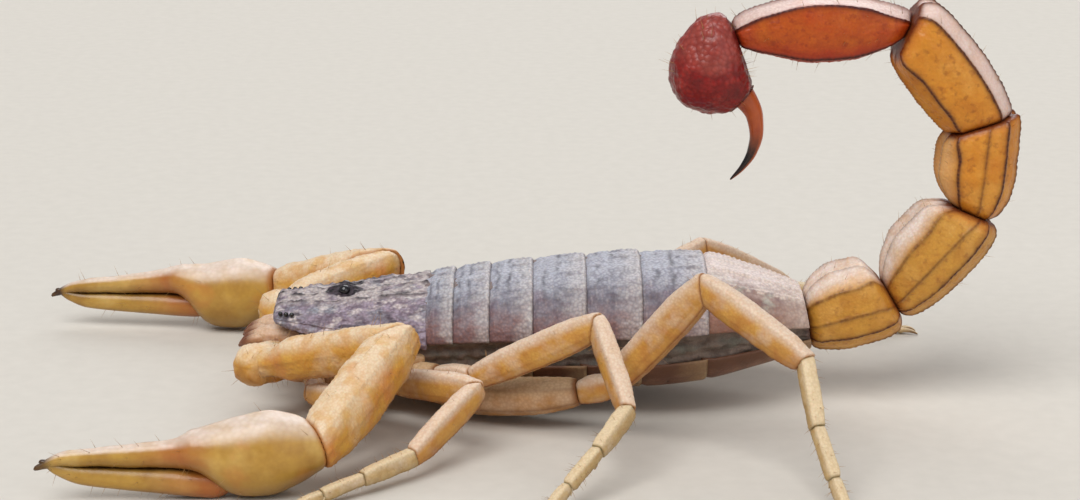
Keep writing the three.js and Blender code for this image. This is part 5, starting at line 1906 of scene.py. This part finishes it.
def larger(first: float, second: float, soft: float) -> float:
    """The larger of two numbers, with the step between them smoothed."""
    return (first + second + math.sqrt((first - second) ** 2 + soft * soft)) / 2


ARMS = (
    Arm(Side.LEFT, (-16.4, 5.8, 3.75), (-7.8, 9.2, 6.1), (-11.8, 16.2, 2.55), (-26.5, 17.7, 2.05), -0.8),
    Arm(Side.RIGHT, (-16.3, 5.7, 3.75), (-9.8, 9.4, 5.3), (-16.9, 13.6, 2.65), (-32.0, 14.8, 2.15), -0.1),
)
LEGS = (
    Leg(Side.LEFT, 1, (-13.0, 6.4, 2.3), (-10.5, 9.6, 2.7), (-12.5, 12.3, 1.9), (-16.6, 12.6, 0.3),
        (-0.1, 0.1, 0.3)),
    Leg(Side.LEFT, 2, (-8.4, 6.4, 3.0), (-3.54, 10.0, 3.6), (-6.84, 14.3, 1.3), (-12.8, 19.1, 0.3),
        (0.1, 0.2, 0.1)),
    Leg(Side.LEFT, 3, (-3.8, 6.5, 3.2), (3.2, 9.2, 7.15), (4.73, 14.0, 3.8), (0.3, 19.8, 0.3),
        (0.3, 0.2, 0.3)),
    Leg(Side.LEFT, 4, (4.1, 7.0, 2.95), (9.0, 10.0, 9.6), (14.15, 14.5, 6.7), (15.9, 20.2, 0.3),
        (-0.35, -0.2, 0.0)),
    Leg(Side.RIGHT, 1, (-13.0, 6.4, 2.3), (-10.6, 9.3, 2.5), (-12.4, 11.4, 1.5), (-16.0, 10.4, 0.3),
        (0, 0, 0.35)),
    Leg(Side.RIGHT, 2, (-8.7, 6.6, 2.7), (-6.3, 12.0, 3.4), (-8.6, 16.6, 1.9), (-11.2, 22.3, 0.3),
        (0, 0, 0.5)),
    Leg(Side.RIGHT, 3, (-3.9, 6.7, 3.0), (1.6, 11.6, 4.4), (5.0, 15.8, 3.0), (7.6, 22.3, 0.3),
        (0, 0, 0.6)),
    Leg(Side.RIGHT, 4, (3.7, 7.2, 2.6), (10.3, 9.5, 6.5), (16.1, 12.2, 3.1), (23.4, 12.6, 0.3),
        (0, 0, 0.7)),
)


@dataclass
class Tuft:
    """Bristles to set on a body: how many, how long in mm, and where they start and end along it."""

    body: Body
    count: int
    length: float
    start: float = 0.08
    end: float = 0.95


@dataclass
class Bristles:
    """The bristles of one kind of limb, joined: thin cones of horn, sunk in the shell at their roots.

    `patch` is half the width of each one's patch on the bake map, in shares of the map.
    """

    name: str
    slot: str
    tufts: Sequence[Tuft]
    radius: float = 0.016
    sunk: float = 0.06
    seed: int = 7
    patch: float = 0.0015

    def build(self, bench: Bench) -> None:
        """Adds the bristles, each with its patch of the map, placed by where its root lies on its body.

        Args:
            bench: Where they go.
        """
        rng = random.Random(self.seed)
        mesh = blank()
        uv = mesh.loops.layers.uv.new(BAKE_MAP)
        columns = math.ceil(math.sqrt(len(self.tufts)))
        for number, tuft in enumerate(self.tufts):
            place = tuft.body.place()
            corner = Vector((number % columns, number // columns)) / columns
            for _ in range(tuft.count):
                share = rng.uniform(tuft.start, tuft.end)
                around = rng.random()
                root, _ = place(share, around)
                cut, edge = tuft.body.cut(share), tuft.body.outline.at(around)
                out = cut.side * edge.out_y + cut.top * edge.out_z
                lean = cut.ahead * rng.uniform(0.25, 0.8) + cut.side * rng.uniform(-0.2, 0.2)
                way = (out + lean).normalized()
                length = tuft.length * rng.uniform(0.6, 1.2)
                turn = UP.rotation_difference(way).to_matrix().to_4x4()
                matrix = Matrix.Translation(root + way * (length / 2 - self.sunk)) @ turn
                cone = bmesh.ops.create_cone(mesh, cap_ends=True, segments=3, radius1=self.radius,
                                             radius2=0.15 * self.radius, depth=length, matrix=matrix)
                spot = corner + (Vector((share, around)) * 0.96 + Vector((0.02, 0.02))) / columns
                self.unwrap(cone["verts"], matrix.inverted(), uv, spot)
        bench.add(mesh, self.name, self.slot, finish="bristle")

    def unwrap(self, verts: Sequence[bmesh.types.BMVert], back: Matrix, uv: bmesh.types.BMLayerItem,
               spot: Vector) -> None:
        """Lays a bristle's patch on the map: its sides round its point, and its sunk end beside them.

        Args:
            verts: Its corners.
            back: What turns it back to stand on its own origin.
            uv: The map.
            spot: The patch's middle on the map.
        """
        for face in dict.fromkeys(face for vert in verts for face in vert.link_faces):
            places = [back @ loop.vert.co for loop in face.loops]
            sunk = all(place.z < 0 for place in places)
            middle = spot + Vector((-0.8, 0)) * self.patch if sunk else spot
            for loop, place in zip(face.loops, places):
                reach = 0.25 if sunk or place.z > 0 else 1.0
                loop[uv].uv = middle + place.to_2d().normalized() * (reach * self.patch)


@dataclass
class Studio:
    """A plain pale floor, soft lights and the camera. Places are mm in the animal's own frame.

    The suns are (name, where from, how wide in degrees, strength): the key high over the head's left, a weak
    fill from the tail's left, and a back light from beyond the right side. Their width softens the shadows.
    """

    target: Row = (0, 0, 9)
    distance: float = 140.0
    elevation: float = 15.0
    focal_pixels: float = 2380.0
    image_width: float = 1080.0
    sensor: float = 36.0
    floor_size: float = 4.0
    floor_grains: float = 900.0
    sky: float = 0.34
    suns: tuple[tuple[str, Row, float, float], ...] = (
        ("key", (-60, -110, 200), 46, 2.2), ("fill", (130, -160, 90), 50, 0.5),
        ("back", (40, 190, 140), 46, 1.0),
    )

    def build(self, origin: Vector) -> None:
        """Adds all of it.

        Args:
            origin: The animal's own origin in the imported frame, in mm.
        """
        bpy.context.scene.view_settings.view_transform = "Standard"
        self.floor()
        self.lights(origin)
        rise = math.radians(self.elevation)
        target = Vector(self.target) + origin
        back = Vector((0, -math.cos(rise), math.sin(rise)))
        data = bpy.data.cameras.new("camera")
        data.sensor_width = self.sensor
        data.lens = self.sensor * self.focal_pixels / self.image_width
        data.clip_start, data.clip_end = 0.01, 10.0
        camera = bpy.data.objects.new("camera", data)
        bpy.context.scene.collection.objects.link(camera)
        camera.location = (target + back * self.distance) * MM
        camera.rotation_mode = "QUATERNION"
        camera.rotation_quaternion = (-back).to_track_quat("-Z", "Y")
        bpy.context.scene.camera = camera

    def floor(self) -> None:
        """Adds the floor: matt paper, with a faint grain."""
        mesh = bmesh.new()
        bmesh.ops.create_grid(mesh, x_segments=2, y_segments=2, size=self.floor_size)
        data = bpy.data.meshes.new("floor")
        mesh.to_mesh(data)
        mesh.free()
        piece = bpy.data.objects.new("floor", data)
        bpy.context.scene.collection.objects.link(piece)
        material = bpy.data.materials.new("matt_floor_paper")
        material.use_nodes = True
        tree = material.node_tree
        tree.nodes.clear()
        place = node(tree, "TexCoord").outputs["Object"]
        grain = node(tree, "TexNoise", {"Vector": place, "Scale": self.floor_grains, "Detail": 3.0})
        colour = mix(tree, grain.outputs["Fac"], linear("#cec8be"), linear("#d8d2c8"))
        shader = node(tree, "BsdfPrincipled", {"Base Color": colour, "Roughness": 0.9})
        node(tree, "OutputMaterial", {"Surface": shader.outputs["BSDF"]})
        data.materials.append(material)

    def lights(self, origin: Vector) -> None:
        """Adds the suns and a pale sky.

        Args:
            origin: The animal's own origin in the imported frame, in mm.
        """
        world = bpy.data.worlds.new("pale_sky")
        world.use_nodes = True
        sky = world.node_tree.nodes["Background"]
        sky.inputs["Color"].default_value = linear("#e8ecf2")
        sky.inputs["Strength"].default_value = self.sky
        bpy.context.scene.world = world
        for name, place, wide, strength in self.suns:
            data = bpy.data.lights.new(name, "SUN")
            data.angle, data.energy = math.radians(wide), strength
            lamp = bpy.data.objects.new(name, data)
            bpy.context.scene.collection.objects.link(lamp)
            lamp.location = (Vector(place) + origin) * MM
            lamp.rotation_mode = "QUATERNION"
            lamp.rotation_quaternion = (-Vector(place)).to_track_quat("-Z", "Y")


def corners(box: tuple[Vector, Vector]) -> list[list[float]]:
    """A box's two corners as plain lists of numbers."""
    return [[float(value) for value in corner] for corner in box]


def animal_origin() -> Vector:
    """The animal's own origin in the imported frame, in mm, from the box of its third trunk ring."""
    low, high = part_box("mesosoma_3")
    return Vector((low.x / MM - (Trunk.edges[2] + GAP / 2), (low.y + high.y) / 2 / MM, 0))


def main() -> None:
    """Builds the animal and its stage."""
    logging.basicConfig(level=logging.INFO, format="%(message)s", stream=sys.stdout)
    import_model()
    origin = animal_origin()
    bench = Bench(origin, {name: finish.build() for name, finish in FINISHES.items()})
    trunk, head, tail = Trunk(), Head(), Tail()
    trunk.build(bench)
    head.build(bench)
    Breast().build(bench, ARMS, LEGS)
    tail.build(bench)
    for arm in ARMS:
        arm.build(bench)
    for leg in LEGS:
        leg.build(bench)
    Bristles("tail_bristles", "tail", [
        *(Tuft(tail.ring_body(i), 34, 0.7) for i in range(4)),
        Tuft(tail.ring_body(4), 60, 0.75), Tuft(tail.bulb_body(), 46, 0.8, 0.2, 0.9),
    ]).build(bench)
    Bristles("arm_bristles", "arm", [
        Tuft(body, 30, 0.8) for arm in ARMS for body in (*arm.lengths(), arm.hand(), arm.finger())
    ]).build(bench)
    Bristles("leg_bristles", "leg", [
        Tuft(body, 18 if name in ("femur", "patella") else 26, 0.5)
        for leg in LEGS for name, body in leg.lengths().items() if name != "trochanter"
    ]).build(bench)
    Studio().build(origin)
    LOG.info("built")


if __name__ == "__main__":
    main()
